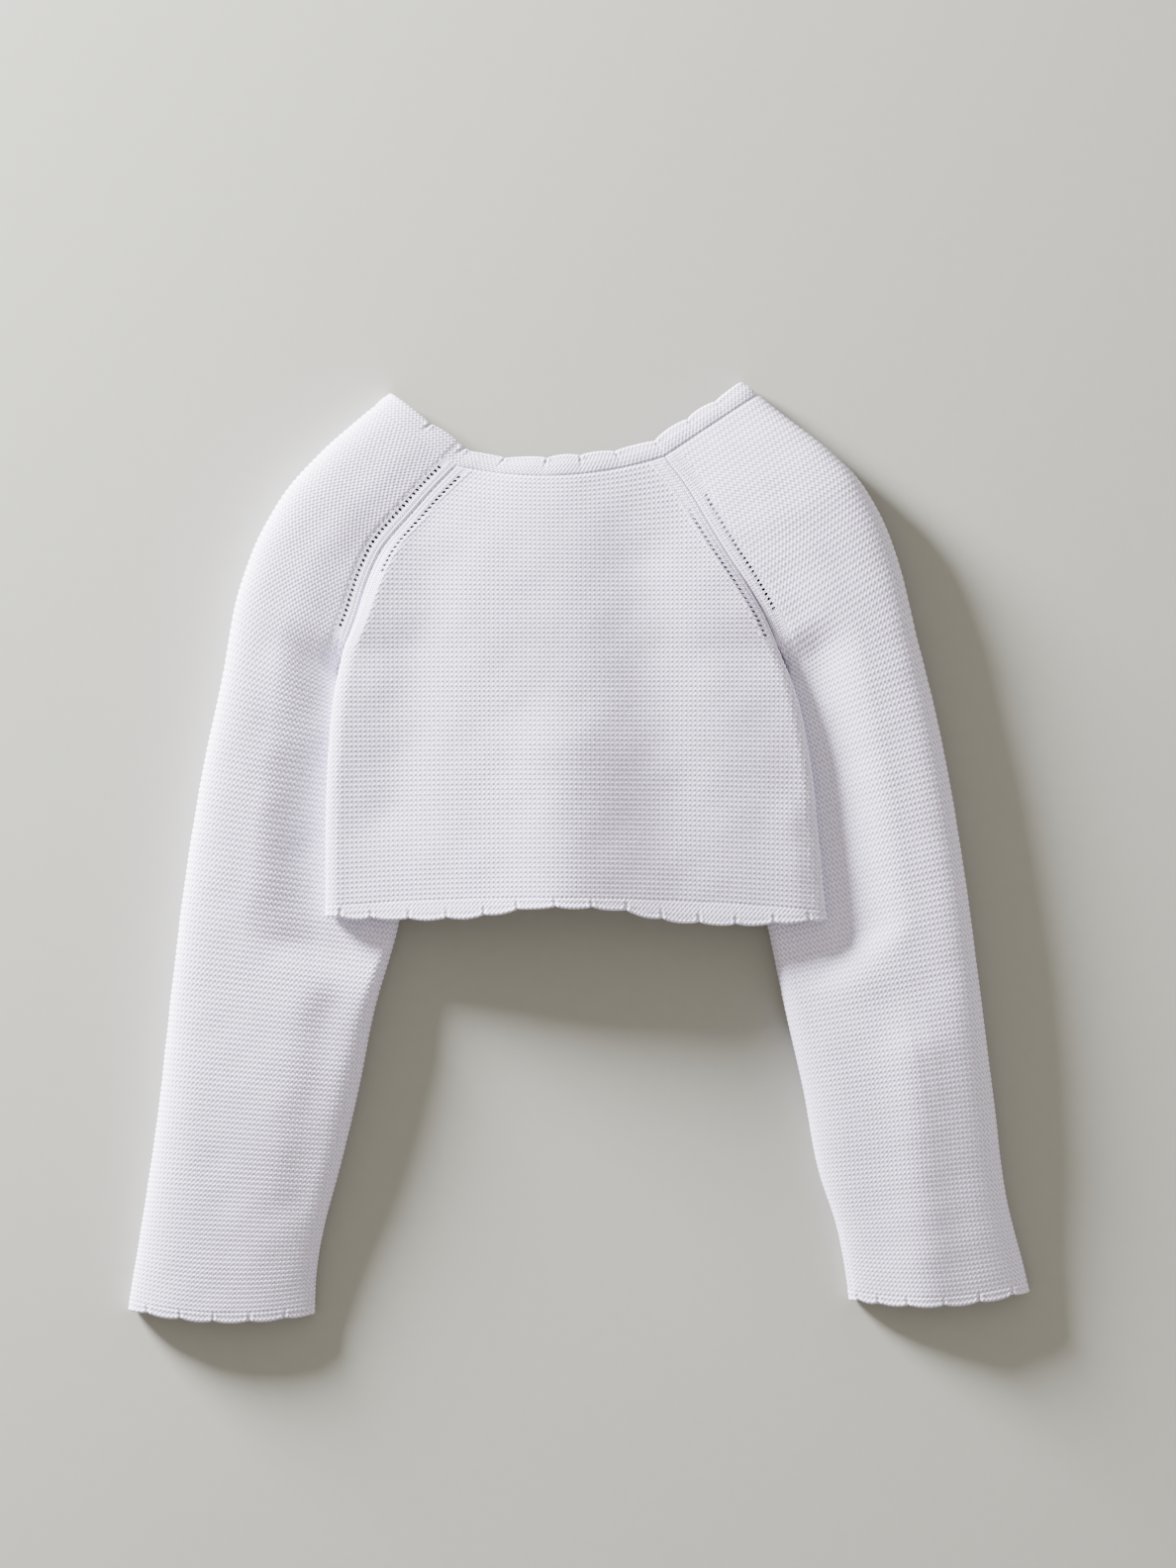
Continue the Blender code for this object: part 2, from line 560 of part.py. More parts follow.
def wall(name, grids, colour):
    """A closed solid between a grid of outer points and a grid of inner points."""
    rows, columns = grids[0].shape[:2]
    shape = bmesh.new()
    top, plain = [[[shape.verts.new(grid[r, c] * MM) for c in range(columns)]
                   for r in range(rows)] for grid in grids]
    for r in range(rows - 1):
        for c in range(columns - 1):
            for face in (top, plain):
                shape.faces.new((face[r][c], face[r][c + 1], face[r + 1][c + 1], face[r + 1][c]))
        for c in (0, columns - 1):
            shape.faces.new((top[r][c], top[r + 1][c], plain[r + 1][c], plain[r][c]))
    for c in range(columns - 1):
        for r in (0, rows - 1):
            shape.faces.new((top[r][c], top[r][c + 1], plain[r][c + 1], plain[r][c]))
    bmesh.ops.recalc_face_normals(shape, faces=shape.faces)
    if shape.calc_volume(signed=True) < 0:
        bmesh.ops.reverse_faces(shape, faces=shape.faces)
    mesh = bpy.data.meshes.new(name)
    shape.to_mesh(mesh)
    shape.free()
    mesh.shade_smooth()
    mesh.set_sharp_from_angle(angle=SHARP_ANGLE)
    mesh.materials.append(cloth_material(name, colour))
    bpy.context.scene.collection.objects.link(bpy.data.objects.new(name, mesh))


def main():
    for old in list(bpy.data.objects):
        bpy.data.objects.remove(old)
    side_left, side_right = curve(SIDE_LEFT), curve(SIDE_RIGHT)
    back_left, back_right = curve(BACK_RAGLAN_LEFT), curve(BACK_RAGLAN_RIGHT)
    front_left, front_right = curve(FRONT_RAGLAN_LEFT), curve(FRONT_RAGLAN_RIGHT)

    panels = {
        "back": back(side_left, side_right, back_left, back_right),
        "front_left": front(side_left, front_left, UNDERARM_LEFT, FRONT_EDGE_LEFT),
        "front_right": front(side_right, front_right, UNDERARM_RIGHT, FRONT_EDGE_RIGHT),
        "sleeve_left": sleeve(FOLD_LEFT, UNDERARM_LEFT, back_left, front_left),
        "sleeve_right": sleeve(FOLD_RIGHT, UNDERARM_RIGHT, back_right, front_right),
    }
    for name, grids in panels.items():
        wall(name, grids, KNIT_WHITE)

    neck = join_lines(
        edge_line(panels["front_right"], last=True, reverse=True),
        edge_line(panels["sleeve_right"], last=True, reverse=True),
        edge_line(panels["back"], last=True, reverse=True),
        edge_line(panels["sleeve_left"], last=True),
        edge_line(panels["front_left"], last=True),
    )
    wall("neck_border", edging(neck, NECK_BORDER), BORDER_WHITE)
    for side in ("left", "right"):
        cuff = edge_line(panels["sleeve_" + side], last=False)
        hem = edge_line(panels["front_" + side], last=False)
        wall("cuff_border_" + side, edging(cuff, CUFF_EDGING, LOBE_START), BORDER_WHITE)
        wall("hem_border_front_" + side, edging(hem, HEM_EDGING, LOBE_START), BORDER_WHITE)
    hem = edge_line(panels["back"], last=False)
    wall("hem_border_back", edging(hem, HEM_EDGING, LOBE_START), BORDER_WHITE)


main()
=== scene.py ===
# %% [markdown]
# # A child's cropped cardigan in fine garter stitch
#
# The real garment is a small bolero knitted in soft white cotton. It lies on its front on a
# pale table, so that its back and the backs of its sleeves show. Every panel is garter
# stitch, the raglan seams are edged with a row of eyelets, and the neck, hem and cuffs end
# in a scalloped border.
#
# The solids that this script loads already have the size and the main folds. What is missing
# is the knitting. The plan is to draw each panel again as a thin shell on the same sections,
# with a grid whose points fall on the stitches, and to raise the stitches in the mesh itself.
# A material then adds the yarn, which is too fine for a mesh.

import math
from collections import namedtuple

import bmesh
import bpy
import numpy as np
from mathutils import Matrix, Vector


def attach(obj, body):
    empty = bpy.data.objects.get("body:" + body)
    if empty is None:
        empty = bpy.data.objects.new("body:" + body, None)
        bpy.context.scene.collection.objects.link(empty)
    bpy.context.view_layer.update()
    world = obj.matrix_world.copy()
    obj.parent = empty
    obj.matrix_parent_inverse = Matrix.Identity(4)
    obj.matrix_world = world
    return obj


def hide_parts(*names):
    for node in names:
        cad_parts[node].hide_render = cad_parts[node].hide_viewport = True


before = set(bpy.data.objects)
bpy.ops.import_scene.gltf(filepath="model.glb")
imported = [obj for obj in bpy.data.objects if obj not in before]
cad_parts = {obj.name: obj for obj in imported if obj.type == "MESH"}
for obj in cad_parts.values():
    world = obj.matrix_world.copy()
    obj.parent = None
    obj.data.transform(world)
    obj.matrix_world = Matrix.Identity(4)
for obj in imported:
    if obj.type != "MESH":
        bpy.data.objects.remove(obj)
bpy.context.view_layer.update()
print("solids:", sorted(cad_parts))

# %% [markdown]
# ## Sizes
#
# A knitter works from a schematic, with a few measures for each piece. These are the
# measures of the part's source, in millimetres, with small changes where knitting shows more
# than plain solids do: the left raglan seam, the ridge of cloth above the underarms, the right
# underarm and some soft creases differ by up to 2.5 mm. Panels that are sewn together stop a
# hair apart, closer than the solids do, which leaves the fine line of a seam. A border is
# knitted on, so it starts right at the last row of its panel.

# %% Measures of the cloth
MM = 0.001
WALL = 1.8
SEAM_GAP = 0.3
RAGLAN_GAP = 0.10
BORDER_GAP = 0.02

# Faces that meet at more than this angle keep a crisp edge between them.
RIM_ANGLE = math.radians(58.0)

# The width of a stitch, and the rows of mesh points in each ridge of garter stitch.
STITCH_BACK = 1.94
STITCH_SLEEVE = 1.80
ROWS_PER_RIDGE = 3
print("stitches to 10 cm: back", round(100 / STITCH_BACK), "and sleeves",
      round(100 / STITCH_SLEEVE))

# %% Folds and seams as laid
Point = namedtuple("Point", "x y")
Seam = namedtuple("Seam", "x y z")
FOLD_LEFT = (
    Point(-190.9, -189.6), Point(-185.9, -159.4), Point(-179.6, -117.4), Point(-172.8, -58.6),
    Point(-167.8, -16.6), Point(-159.8, 33.8), Point(-151.0, 75.8), Point(-144.7, 109.4),
    Point(-136.3, 132.5), Point(-125.4, 151.4), Point(-109.4, 169.5), Point(-94.3, 182.9),
    Point(-87.2, 188.8),
)
FOLD_RIGHT = (
    Point(189.2, -182.0), Point(179.6, -142.6), Point(175.4, -109.0), Point(169.0, -58.6),
    Point(162.3, -8.2), Point(156.9, 25.4), Point(150.2, 59.0), Point(141.8, 92.6),
    Point(133.4, 126.2), Point(126.6, 143.0), Point(118.2, 156.9), Point(105.2, 170.0),
    Point(88.0, 183.4), Point(75.2, 193.6),
)
UNDERARM_LEFT = (
    Point(-112.4, -191.3), Point(-111.5, -176.2), Point(-108.6, -159.4), Point(-101.9, -134.0),
    Point(-93.9, -100.6), Point(-87.2, -67.0), Point(-76.6, -28.8), Point(-73.0, 0.0),
    Point(-73.0, 25.0), Point(-79.0, 46.0), Point(-91.0, 62.0), Point(-101.0, 74.5),
    Point(-101.4, 84.2),
)
UNDERARM_RIGHT = (
    Point(113.2, -185.4), Point(111.9, -176.2), Point(108.6, -159.4), Point(100.6, -134.2),
    Point(94.3, -100.6), Point(86.7, -67.0), Point(78.6, -28.8), Point(72.0, 0.0),
    Point(70.0, 25.0), Point(72.0, 46.0), Point(78.0, 62.0), Point(86.3, 74.5),
    Point(84.8, 84.2),
)
SIDE_LEFT = (
    Seam(-107.7, -22.5, 16.4), Seam(-107.7, 4.4, 16.4), Seam(-106.5, 42.2, 16.4),
    Seam(-103.9, 68.0, 16.0), Seam(-100.6, 84.2, 15.4),
)
SIDE_RIGHT = (
    Seam(103.6, -24.5, 16.4), Seam(100.8, 4.4, 16.4), Seam(96.6, 42.2, 16.4),
    Seam(90.8, 68.0, 16.0), Seam(84.5, 84.2, 15.4),
)
BACK_RAGLAN_LEFT = (
    Seam(-100.6, 84.2, 15.4), Seam(-95.0, 99.0, 15.6), Seam(-90.4, 113.6, 15.6),
    Seam(-84.6, 126.6, 15.2), Seam(-71.6, 142.6, 14.2), Seam(-61.1, 154.4, 12.8),
    Seam(-52.3, 163.4, 11.4),
)
BACK_RAGLAN_RIGHT = (
    Seam(84.5, 84.2, 15.4), Seam(78.2, 99.0, 15.6), Seam(70.8, 112.5, 15.6),
    Seam(62.4, 125.6, 15.4), Seam(54.2, 139.0, 14.6), Seam(45.6, 153.6, 13.0),
    Seam(35.5, 167.2, 11.6),
)
FRONT_RAGLAN_LEFT = (
    Seam(-100.6, 84.2, 7.4), Seam(-95.5, 98.0, 3.4), Seam(-88.5, 112.0, 0.4),
    Seam(-79.0, 127.0, 0.0), Seam(-68.0, 143.0, 0.0),
)
FRONT_RAGLAN_RIGHT = (
    Seam(84.5, 84.2, 7.4), Seam(79.0, 98.0, 3.4), Seam(72.0, 112.0, 0.4),
    Seam(63.5, 127.0, 0.0), Seam(53.5, 143.0, 0.0),
)
FRONT_EDGE_LEFT = -5.0
FRONT_EDGE_RIGHT = -1.0
print("from fold to fold at the cuffs:", FOLD_RIGHT[0].x - FOLD_LEFT[0].x, "mm")

# %% Heights of the sections
SleeveRow = namedtuple(
    "SleeveRow", "at crest crest_at shelf_at top under pressed curl squareness")
SLEEVE_ROWS = (
    SleeveRow(0.000, 11.6, 0.38, 0.95, 8.0, 0.0, 0.0, 1.0, 0.90),
    SleeveRow(0.100, 14.4, 0.32, 0.95, 9.4, 0.0, 0.0, 1.0, 0.70),
    SleeveRow(0.250, 17.2, 0.30, 0.90, 11.2, 0.0, 0.0, 1.0, 0.58),
    SleeveRow(0.340, 17.4, 0.30, 0.80, 12.0, 0.0, 0.2, 1.0, 0.46),
    SleeveRow(0.405, 17.6, 0.28, 0.66, 12.4, 0.0, 1.0, 1.0, 0.46),
    SleeveRow(0.560, 17.6, 0.28, 0.64, 12.4, 0.0, 1.0, 1.0, 0.46),
    SleeveRow(0.640, 17.6, 0.30, 0.70, 12.4, 0.0, 1.0, 1.0, 0.46),
    SleeveRow(0.700, 17.6, 0.34, 0.80, 12.3, 0.4, 1.0, 1.0, 0.46),
    SleeveRow(0.735, 17.6, 0.40, 0.94, 12.3, 2.8, 1.0, 1.0, 0.46),
    SleeveRow(0.757, 17.6, 0.44, 0.99, 15.4, 7.4, 1.0, 0.0, 0.46),
    SleeveRow(0.860, 17.2, 0.46, 1.00, 15.2, 0.0, 1.0, 0.0, 0.48),
    SleeveRow(0.940, 15.0, 0.50, 1.00, 13.4, 0.0, 1.0, 0.0, 0.55),
    SleeveRow(1.000, 12.2, 0.50, 1.00, 11.4, 0.0, 1.0, 0.0, 0.70),
)
UNDERARM_AT = 0.757
BodyRow = namedtuple("BodyRow", "at rise curl centre bow shelf front_y scoop")
BODY_ROWS = (
    BodyRow(-1.00, 3.0, 1.0, 27.5, 4.5, 13.2, -16.5, 0.0),
    BodyRow(-0.75, 3.0, 1.0, 26.0, 3.0, 13.2, 4.0, 0.0),
    BodyRow(-0.40, 3.2, 1.0, 23.6, 1.0, 13.0, 33.0, 0.0),
    BodyRow(-0.15, 3.4, 1.0, 22.0, 0.2, 12.9, 52.0, 0.5),
    BodyRow(0.00, 3.2, 1.0, 21.2, 0.0, 12.9, 60.0, 1.0),
    BodyRow(0.15, 3.3, 0.8, 20.4, 0.0, 3.0, 67.0, 2.0),
    BodyRow(0.32, 2.7, 0.4, 19.2, -0.4, 0.4, 75.0, 3.5),
    BodyRow(0.50, 1.5, 0.0, 17.8, -1.4, 0.0, 83.0, 5.5),
    BodyRow(0.75, 0.2, 0.0, 15.8, -4.0, 0.0, 92.0, 8.5),
    BodyRow(1.00, 0.0, 0.0, 13.6, -6.2, 0.0, 100.0, 11.0),
)
OUTER_FOLD = 4.6
INNER_FOLD = 4.4
SIDE_FOLD = 6.0
RAGLAN_BAND = 7.0
UNDER_LIFT_SPAN = 14.0
CUFF_BOW = 4.2
CUFF_BOW_REACH = 0.10
SHELF_MARGIN = 1.5
SHELF_REACH = 12.0
SHELF_RAMP = 20.0
LEAST_FOLD = 2.4
BACK_HUMP_POWER = 1.4
print("sections in the tables:", len(SLEEVE_ROWS), "of a sleeve,", len(BODY_ROWS),
      "of the body")

# %% Soft creases
Crease = namedtuple("Crease", "x0 y0 x1 y1 width height")
CREASE_MARGIN = 12.0
BODY_CREASES = (
    Crease(-64.0, 116.0, -80.0, 20.0, 15.0, -1.2),
    Crease(24.0, 120.0, 35.0, 30.0, 20.0, -2.1),
    Crease(-9.0, 40.0, -8.0, -44.0, 20.0, 2.0),
    Crease(39.0, 0.0, 46.0, -46.0, 24.0, -1.9),
    Crease(92.0, 10.0, 92.0, -30.0, 12.0, 0.9),
)
SLEEVE_CREASES = (
    Crease(-126.0, 50.0, -119.0, 4.0, 14.0, -0.8),
    Crease(-106.0, -62.0, -120.0, -146.0, 9.0, -0.8),
    Crease(141.0, -84.0, 146.0, -186.0, 13.0, 1.8),
    Crease(92.0, 80.0, 98.0, 56.0, 9.0, 0.8),
    Crease(-111.0, 74.0, -107.0, 56.0, 14.0, 1.7),
    Crease(-118.0, -34.0, -112.0, -58.0, 12.0, 0.9),
)
print("creases:", len(BODY_CREASES), "on the body,", len(SLEEVE_CREASES), "on the sleeves")

# %% Gauge
# Height of a garter ridge at places of a panel. The cloth is stretched most at the upper arm.
Gauge = namedtuple("Gauge", "at ridge")
BODY_GAUGE = (Gauge(-1.0, 2.04), Gauge(-0.5, 2.08), Gauge(0.0, 2.06), Gauge(0.5, 1.92),
              Gauge(1.0, 1.84))
SLEEVE_GAUGE = (Gauge(0.0, 2.02), Gauge(0.14, 2.10), Gauge(0.32, 2.32), Gauge(0.50, 2.46),
                Gauge(0.75, 2.54), Gauge(1.0, 2.50))
print("ridge heights in mm:", min(row.ridge for row in BODY_GAUGE), "to",
      max(row.ridge for row in SLEEVE_GAUGE))

# %% [markdown]
# ## Reading the tables
#
# A table of a dozen rows has to give a value for several hundred rows of knitting. Straight
# lines between its rows would show as kinks in the cloth, and a free spline would bulge
# past the measured heights. So each value is read with a curve that passes through the
# rows, and whose slope is held back wherever it would overshoot.

# %% Soft steps, tables and curves
CURVE_STEPS = 24
FINE_STEPS = 2001


def ease(t):
    """A soft step from 0 to 1."""
    t = np.clip(t, 0.0, 1.0)
    return t * t * (3 - 2 * t)


def arch(share):
    """A shallow arch: 0 at both ends and 1 in the middle."""
    return 4 * share * (1 - share)


def soft_line(distance, width):
    """A soft raised line: 1 on the line, and next to nothing two widths away."""
    return np.exp(-(distance / width) ** 2)


def smooth(at, places, values):
    """Read a table smoothly at many places, without overshooting its rows."""
    places, values = np.asarray(places, float), np.asarray(values, float)
    steps = np.diff(values) / np.diff(places)
    slopes = np.empty_like(values)
    slopes[0], slopes[-1] = steps[0], steps[-1]
    for i in range(1, len(values) - 1):
        before, after = steps[i - 1], steps[i]
        slopes[i] = 2 * before * after / (before + after) if before * after > 0 else 0.0
    i = np.clip(np.searchsorted(places, at) - 1, 0, len(places) - 2)
    span = places[i + 1] - places[i]
    t = (at - places[i]) / span
    blend = t * t * (3 - 2 * t)
    lift = t * (1 - t) * span
    return (values[i] * (1 - blend) + values[i + 1] * blend
            + lift * ((1 - t) * slopes[i] - t * slopes[i + 1]))


def read_table(rows, at):
    """A whole table, read at many places: one row of the same kind for each place."""
    kind = type(rows[0])
    columns = [smooth(at, [row.at for row in rows], [getattr(row, name) for row in rows])
               for name in kind._fields]
    return [kind(*values) for values in zip(*columns)]


def curve(points):
    """A smooth curve through points, as a function of the fraction of its length."""
    points = np.asarray(points, float)
    chords = np.linalg.norm(np.diff(points[:, :2], axis=0), axis=1)
    places = np.concatenate([[0.0], np.cumsum(chords)])
    tangents = np.gradient(points, places, axis=0)
    stretches = []
    for i, chord in enumerate(chords):
        t = np.linspace(0.0, 1.0, CURVE_STEPS, endpoint=False)[:, None]
        ends = points[i] * (1 + 2 * t) * (1 - t) ** 2 + points[i + 1] * t * t * (3 - 2 * t)
        turn = (1 - t) * tangents[i] - t * tangents[i + 1]
        stretches.append(ends + chord * t * (1 - t) * turn)
    path = np.vstack(stretches + [points[-1:]])
    lengths = np.concatenate([[0.0], np.cumsum(np.linalg.norm(np.diff(path, axis=0), axis=1))])
    lengths /= lengths[-1]

    def at(fraction):
        return np.stack([np.interp(fraction, lengths, axis) for axis in path.T], axis=-1)
    return at


def row_places(at, way, gauge):
    """Where the rows of knitting lie, when a line of a panel is known at some places."""
    fine = np.linspace(at[0], at[-1], FINE_STEPS)
    line = np.stack([np.interp(fine, at, axis) for axis in np.asarray(way).T], axis=-1)
    steps = np.linalg.norm(np.diff(line, axis=0), axis=1)
    middle = (fine[1:] + fine[:-1]) / 2
    ridge = smooth(middle, [row.at for row in gauge], [row.ridge for row in gauge])
    ridges = np.concatenate([[0.0], np.cumsum(steps / ridge)])
    rows = round(ridges[-1]) * ROWS_PER_RIDGE
    return np.interp(np.linspace(0.0, ridges[-1], rows + 1), ridges, fine)


def crease_height(creases, places):
    """How far the soft creases lift or lower the cloth at each place."""
    total = np.zeros(len(places))
    for crease in creases:
        run = np.array([crease.x1 - crease.x0, crease.y1 - crease.y0])
        away = places[:, :2] - (crease.x0, crease.y0)
        length = np.linalg.norm(run)
        along = away @ run / length ** 2
        across = (away[:, 0] * run[1] - away[:, 1] * run[0]) / length
        past = np.maximum(0.0, np.maximum(-along, along - 1.0)) * length
        total += crease.height * np.exp(-(across ** 2 + past ** 2) / crease.width ** 2)
    return total


# %% [markdown]
# ## Section lines
#
# One row of knitting, seen from its end, is a section line: on the body it climbs from the
# side fold to the loft of the middle, and on a sleeve it goes right round. These lines are
# worked out just as in the part's source, only with a row for every row of knitting, and
# with the inner face one wall thickness inside. They carry no stitches yet.

# %% Parts of a section
FOLD_STEPS, SLOPE_STEPS, DOME_STEPS = 24, 30, 36
UNDER_FOLD_STEPS, UNDER_FLAT_STEPS, UNDER_END_STEPS = 13, 15, 14

# Near a seam, the inner face goes straight down for about this many points.
HELD_STEPS = 8.0
CREST_POINT = FOLD_STEPS + SLOPE_STEPS - 1


def quarter(width, drop, curl, count):
    """The turn of a fold: the distance in from its outermost point and the height to go."""
    phi = np.linspace(0.0, math.pi / 2, count)
    inward = width * (1 - np.cos(phi))
    left = curl * (1 - np.sin(phi)) + (1 - curl) * (1 - ease(inward / width))
    return inward, drop * left


def inset(run, height, depth, curl_start, curl_end):
    """A section line moved to its left by a depth, and straight up or down at a seam."""
    run_step, height_step = np.gradient(run), np.gradient(height)
    size = np.hypot(run_step, height_step)
    side, up = -height_step / size, run_step / size
    steps = np.arange(len(run))
    for curl, end, away in ((curl_start, 0, steps), (curl_end, -1, steps[::-1])):
        held = (1 - curl) * np.exp(-(away / HELD_STEPS) ** 2)
        side = side * (1 - held)
        up = up * (1 - held) + np.sign(up[end]) * held
    size = np.hypot(side, up)
    return run + depth * side / size, height + depth * up / size


def inner_end(row, top, under, count):
    """The inner end of a sleeve's layer: its width, and the turn of its fold or its seam."""
    fold = INNER_FOLD if row.curl > 0.5 else RAGLAN_BAND
    radius = (top - under - SEAM_GAP) / 2
    return fold, *quarter(fold, radius * row.curl, row.curl, count)


def upper_profile(row, width, top, under):
    """The upper layer of a sleeve, from its inner end over the crest to the outer fold."""
    crest_run, shelf_run = row.crest_at * width, row.shelf_at * width
    fold, inward, to_go = inner_end(row, top, under, FOLD_STEPS)
    slope_run = np.linspace(width - fold, crest_run, SLOPE_STEPS + 1)[1:]
    down = np.clip((slope_run - crest_run) / (shelf_run - crest_run), 0.0, 1.0)
    slope_height = top + (row.crest - top) * (0.5 + 0.5 * np.cos(math.pi * down))
    run = np.concatenate([width - inward, slope_run])
    height = np.concatenate([top - to_go, slope_height])
    turn = np.linspace(0.0, math.pi / 2, len(run))
    middle = (top + under + SEAM_GAP) / 2
    free_run = width - (width - crest_run) * (1 - np.cos(turn) ** row.squareness)
    free_height = middle + (row.crest - middle) * np.sin(turn) ** row.squareness
    run = run * row.pressed + free_run * (1 - row.pressed)
    height = height * row.pressed + free_height * (1 - row.pressed)
    dome = np.linspace(math.pi / 2, 0.0, DOME_STEPS + 1)[1:]
    dome_run = crest_run * (1 - np.cos(dome) ** row.squareness)
    dome_height = OUTER_FOLD + (row.crest - OUTER_FOLD) * np.sin(dome) ** row.squareness
    return np.concatenate([run, dome_run]), np.concatenate([height, dome_height])


def under_profile(row, width, top, under):
    """The layer of a sleeve that rests, from the outer fold to the inner end."""
    fold, inward, to_go = inner_end(row, top, under, UNDER_END_STEPS)
    turn = np.linspace(0.0, math.pi / 2, UNDER_FOLD_STEPS)[1:]
    fold_run, fold_height = OUTER_FOLD * (1 - np.cos(turn)), OUTER_FOLD * (1 - np.sin(turn))
    flat_run = np.linspace(OUTER_FOLD, width - fold, UNDER_FLAT_STEPS)[1:]
    run = np.concatenate([fold_run, flat_run, (width - inward)[::-1][1:]])
    height = np.concatenate([fold_height, 0 * flat_run, to_go[::-1][1:]])
    return run, height + under * ease(1 - (width - run) / UNDER_LIFT_SPAN)


def fill_rows(sections, places, wanted):
    """Section lines filled in smoothly, one for each row of knitting."""
    sections = np.asarray(sections)
    slopes = np.gradient(sections, places, axis=0)
    i = np.clip(np.searchsorted(places, wanted, side="right") - 1, 0, len(places) - 2)
    span = (places[i + 1] - places[i])[:, None, None]
    t = (wanted - places[i])[:, None, None] / span
    blend = t * t * (3 - 2 * t)
    turn = t * (1 - t) * span * ((1 - t) * slopes[i] - t * slopes[i + 1])
    return sections[i] * (1 - blend) + sections[i + 1] * blend + turn


def rows_of_knitting(outer, inner, at, point, gauge):
    """Both faces with a line for every row, counted along one point of the sections."""
    rows = row_places(at, [line[point] for line in outer], gauge)
    return fill_rows(outer, at, rows), fill_rows(inner, at, rows), rows


# %% Lines of a sleeve
# The sections stop short of the underarm on both sides, where the seam changes its height.
SLEEVE_PLACES = np.concatenate([np.linspace(0.0, 0.73, 58), np.linspace(0.77, 1.0, 22)])


def sleeve_lines(fold_points, underarm_points, back_raglan, front_raglan):
    """Outer and inner section lines of a sleeve, from the cuff to the neck."""
    at = SLEEVE_PLACES
    starts = curve(fold_points)(at)
    folds = curve(underarm_points)(np.clip(at / UNDERARM_AT, 0.0, 1.0))
    above = np.clip((at - UNDERARM_AT) / (1 - UNDERARM_AT), 0.0, 1.0)
    back_seam, front_seam = curve(back_raglan)(above), curve(front_raglan)(above)
    outer, inner = [], []
    for i, row in enumerate(read_table(SLEEVE_ROWS, at)):
        if at[i] < UNDERARM_AT:
            ends = [np.array([*folds[i], row.top]), np.array([*folds[i], row.under])]
        else:
            ends = [back_seam[i], front_seam[i]]
        top, under = ends[0][2], ends[1][2]
        reaches = [end[:2] - starts[i] for end in ends]
        widths = [np.linalg.norm(reach) - RAGLAN_GAP / 2 for reach in reaches]
        upper_run, upper_height = upper_profile(row, widths[0], top, under)
        under_run, under_height = under_profile(row, widths[1], top, under)
        run = np.concatenate([upper_run, under_run])
        height = np.concatenate([upper_height, under_height])
        way = np.vstack([np.tile(reach / np.linalg.norm(reach), (len(part), 1))
                         for reach, part in zip(reaches, (upper_run, under_run))])
        inner_run, inner_height = inset(run, height, WALL, row.curl, row.curl)
        margin = np.minimum(upper_run, widths[0] - upper_run) / CREASE_MARGIN
        lift = np.zeros(len(run))
        places = starts[i] + way[:len(upper_run)] * upper_run[:, None]
        lift[:len(upper_run)] = crease_height(SLEEVE_CREASES, places) * ease(margin)
        share = run / np.where(np.arange(len(run)) < len(upper_run), *widths)
        bow = CUFF_BOW * arch(share) * ease(1 - at[i] / CUFF_BOW_REACH)
        across = reaches[0] / np.linalg.norm(reaches[0])
        along = np.array([-across[1], across[0]])
        along = along if along[1] < 0 else -along
        shift = along * bow[:, None]
        outer.append(np.column_stack([starts[i] + way * run[:, None] + shift, height + lift]))
        inner.append(np.column_stack([starts[i] + way * inner_run[:, None] + shift,
                                      inner_height + lift]))
    return rows_of_knitting(outer, inner, at, CREST_POINT, SLEEVE_GAUGE)


# %% Lines of the body
BACK_MIDDLE_STEPS, FRONT_MIDDLE_STEPS = 90, 70
UNDERARM_LINE_STEPS = 200
BODY_AT = np.concatenate([np.linspace(-1.0, 0.0, 25), np.linspace(0.1, 1.0, 28)])


def body_edge(side, raglan):
    """A line of the body's edge: up the side fold to the underarm, then up the raglan."""
    below, above = curve(side)(np.clip(1 + BODY_AT, 0, 1)), curve(raglan)(np.clip(BODY_AT, 0, 1))
    return np.where(BODY_AT[:, None] <= 0, below, above)


def back_lines():
    """Outer and inner section lines of the back, from the hem to the neck."""
    left_edge = body_edge(SIDE_LEFT, BACK_RAGLAN_LEFT)
    right_edge = body_edge(SIDE_RIGHT, BACK_RAGLAN_RIGHT)
    outer, inner = [], []
    for row, left, right in zip(read_table(BODY_ROWS, BODY_AT), left_edge, right_edge):
        gap = np.array([RAGLAN_GAP / 2 * (1 - row.curl), 0.0, SEAM_GAP / 2 * row.curl])
        start, end = left + gap, right + gap * (-1, 0, 1)
        width = np.linalg.norm(end[:2] - start[:2])
        fold = SIDE_FOLD * row.curl + RAGLAN_BAND * (1 - row.curl)
        inward, to_go = quarter(fold, row.rise, row.curl, FOLD_STEPS)
        middle = np.linspace(fold, width - fold, BACK_MIDDLE_STEPS + 1)[1:-1]
        share = (middle - fold) / (width - 2 * fold)
        ridges = [start[2] + row.rise, end[2] + row.rise]
        hump = row.centre - sum(ridges) / 2
        run = np.concatenate([inward, middle, (width - inward)[::-1]])
        height = np.concatenate([ridges[0] - to_go,
                                 ridges[0] + (ridges[1] - ridges[0]) * share
                                 + hump * np.sin(math.pi * share) ** BACK_HUMP_POWER,
                                 (ridges[1] - to_go)[::-1]])
        inner_run, inner_height = inset(run, height, -WALL, row.curl, row.curl)
        way = (end[:2] - start[:2]) / width
        part = run / width
        shift = np.column_stack([0 * part, row.bow * arch(part)])
        places = start[:2] + way * run[:, None] + shift
        lift = crease_height(BODY_CREASES, places)
        lift *= ease(np.minimum(run, width - run) / CREASE_MARGIN)
        outer.append(np.column_stack([places, height + lift]))
        inner_places = start[:2] + way * inner_run[:, None] + shift
        inner.append(np.column_stack([inner_places, inner_height + lift]))
    return rows_of_knitting(outer, inner, BODY_AT, len(outer[0]) // 2, BODY_GAUGE)


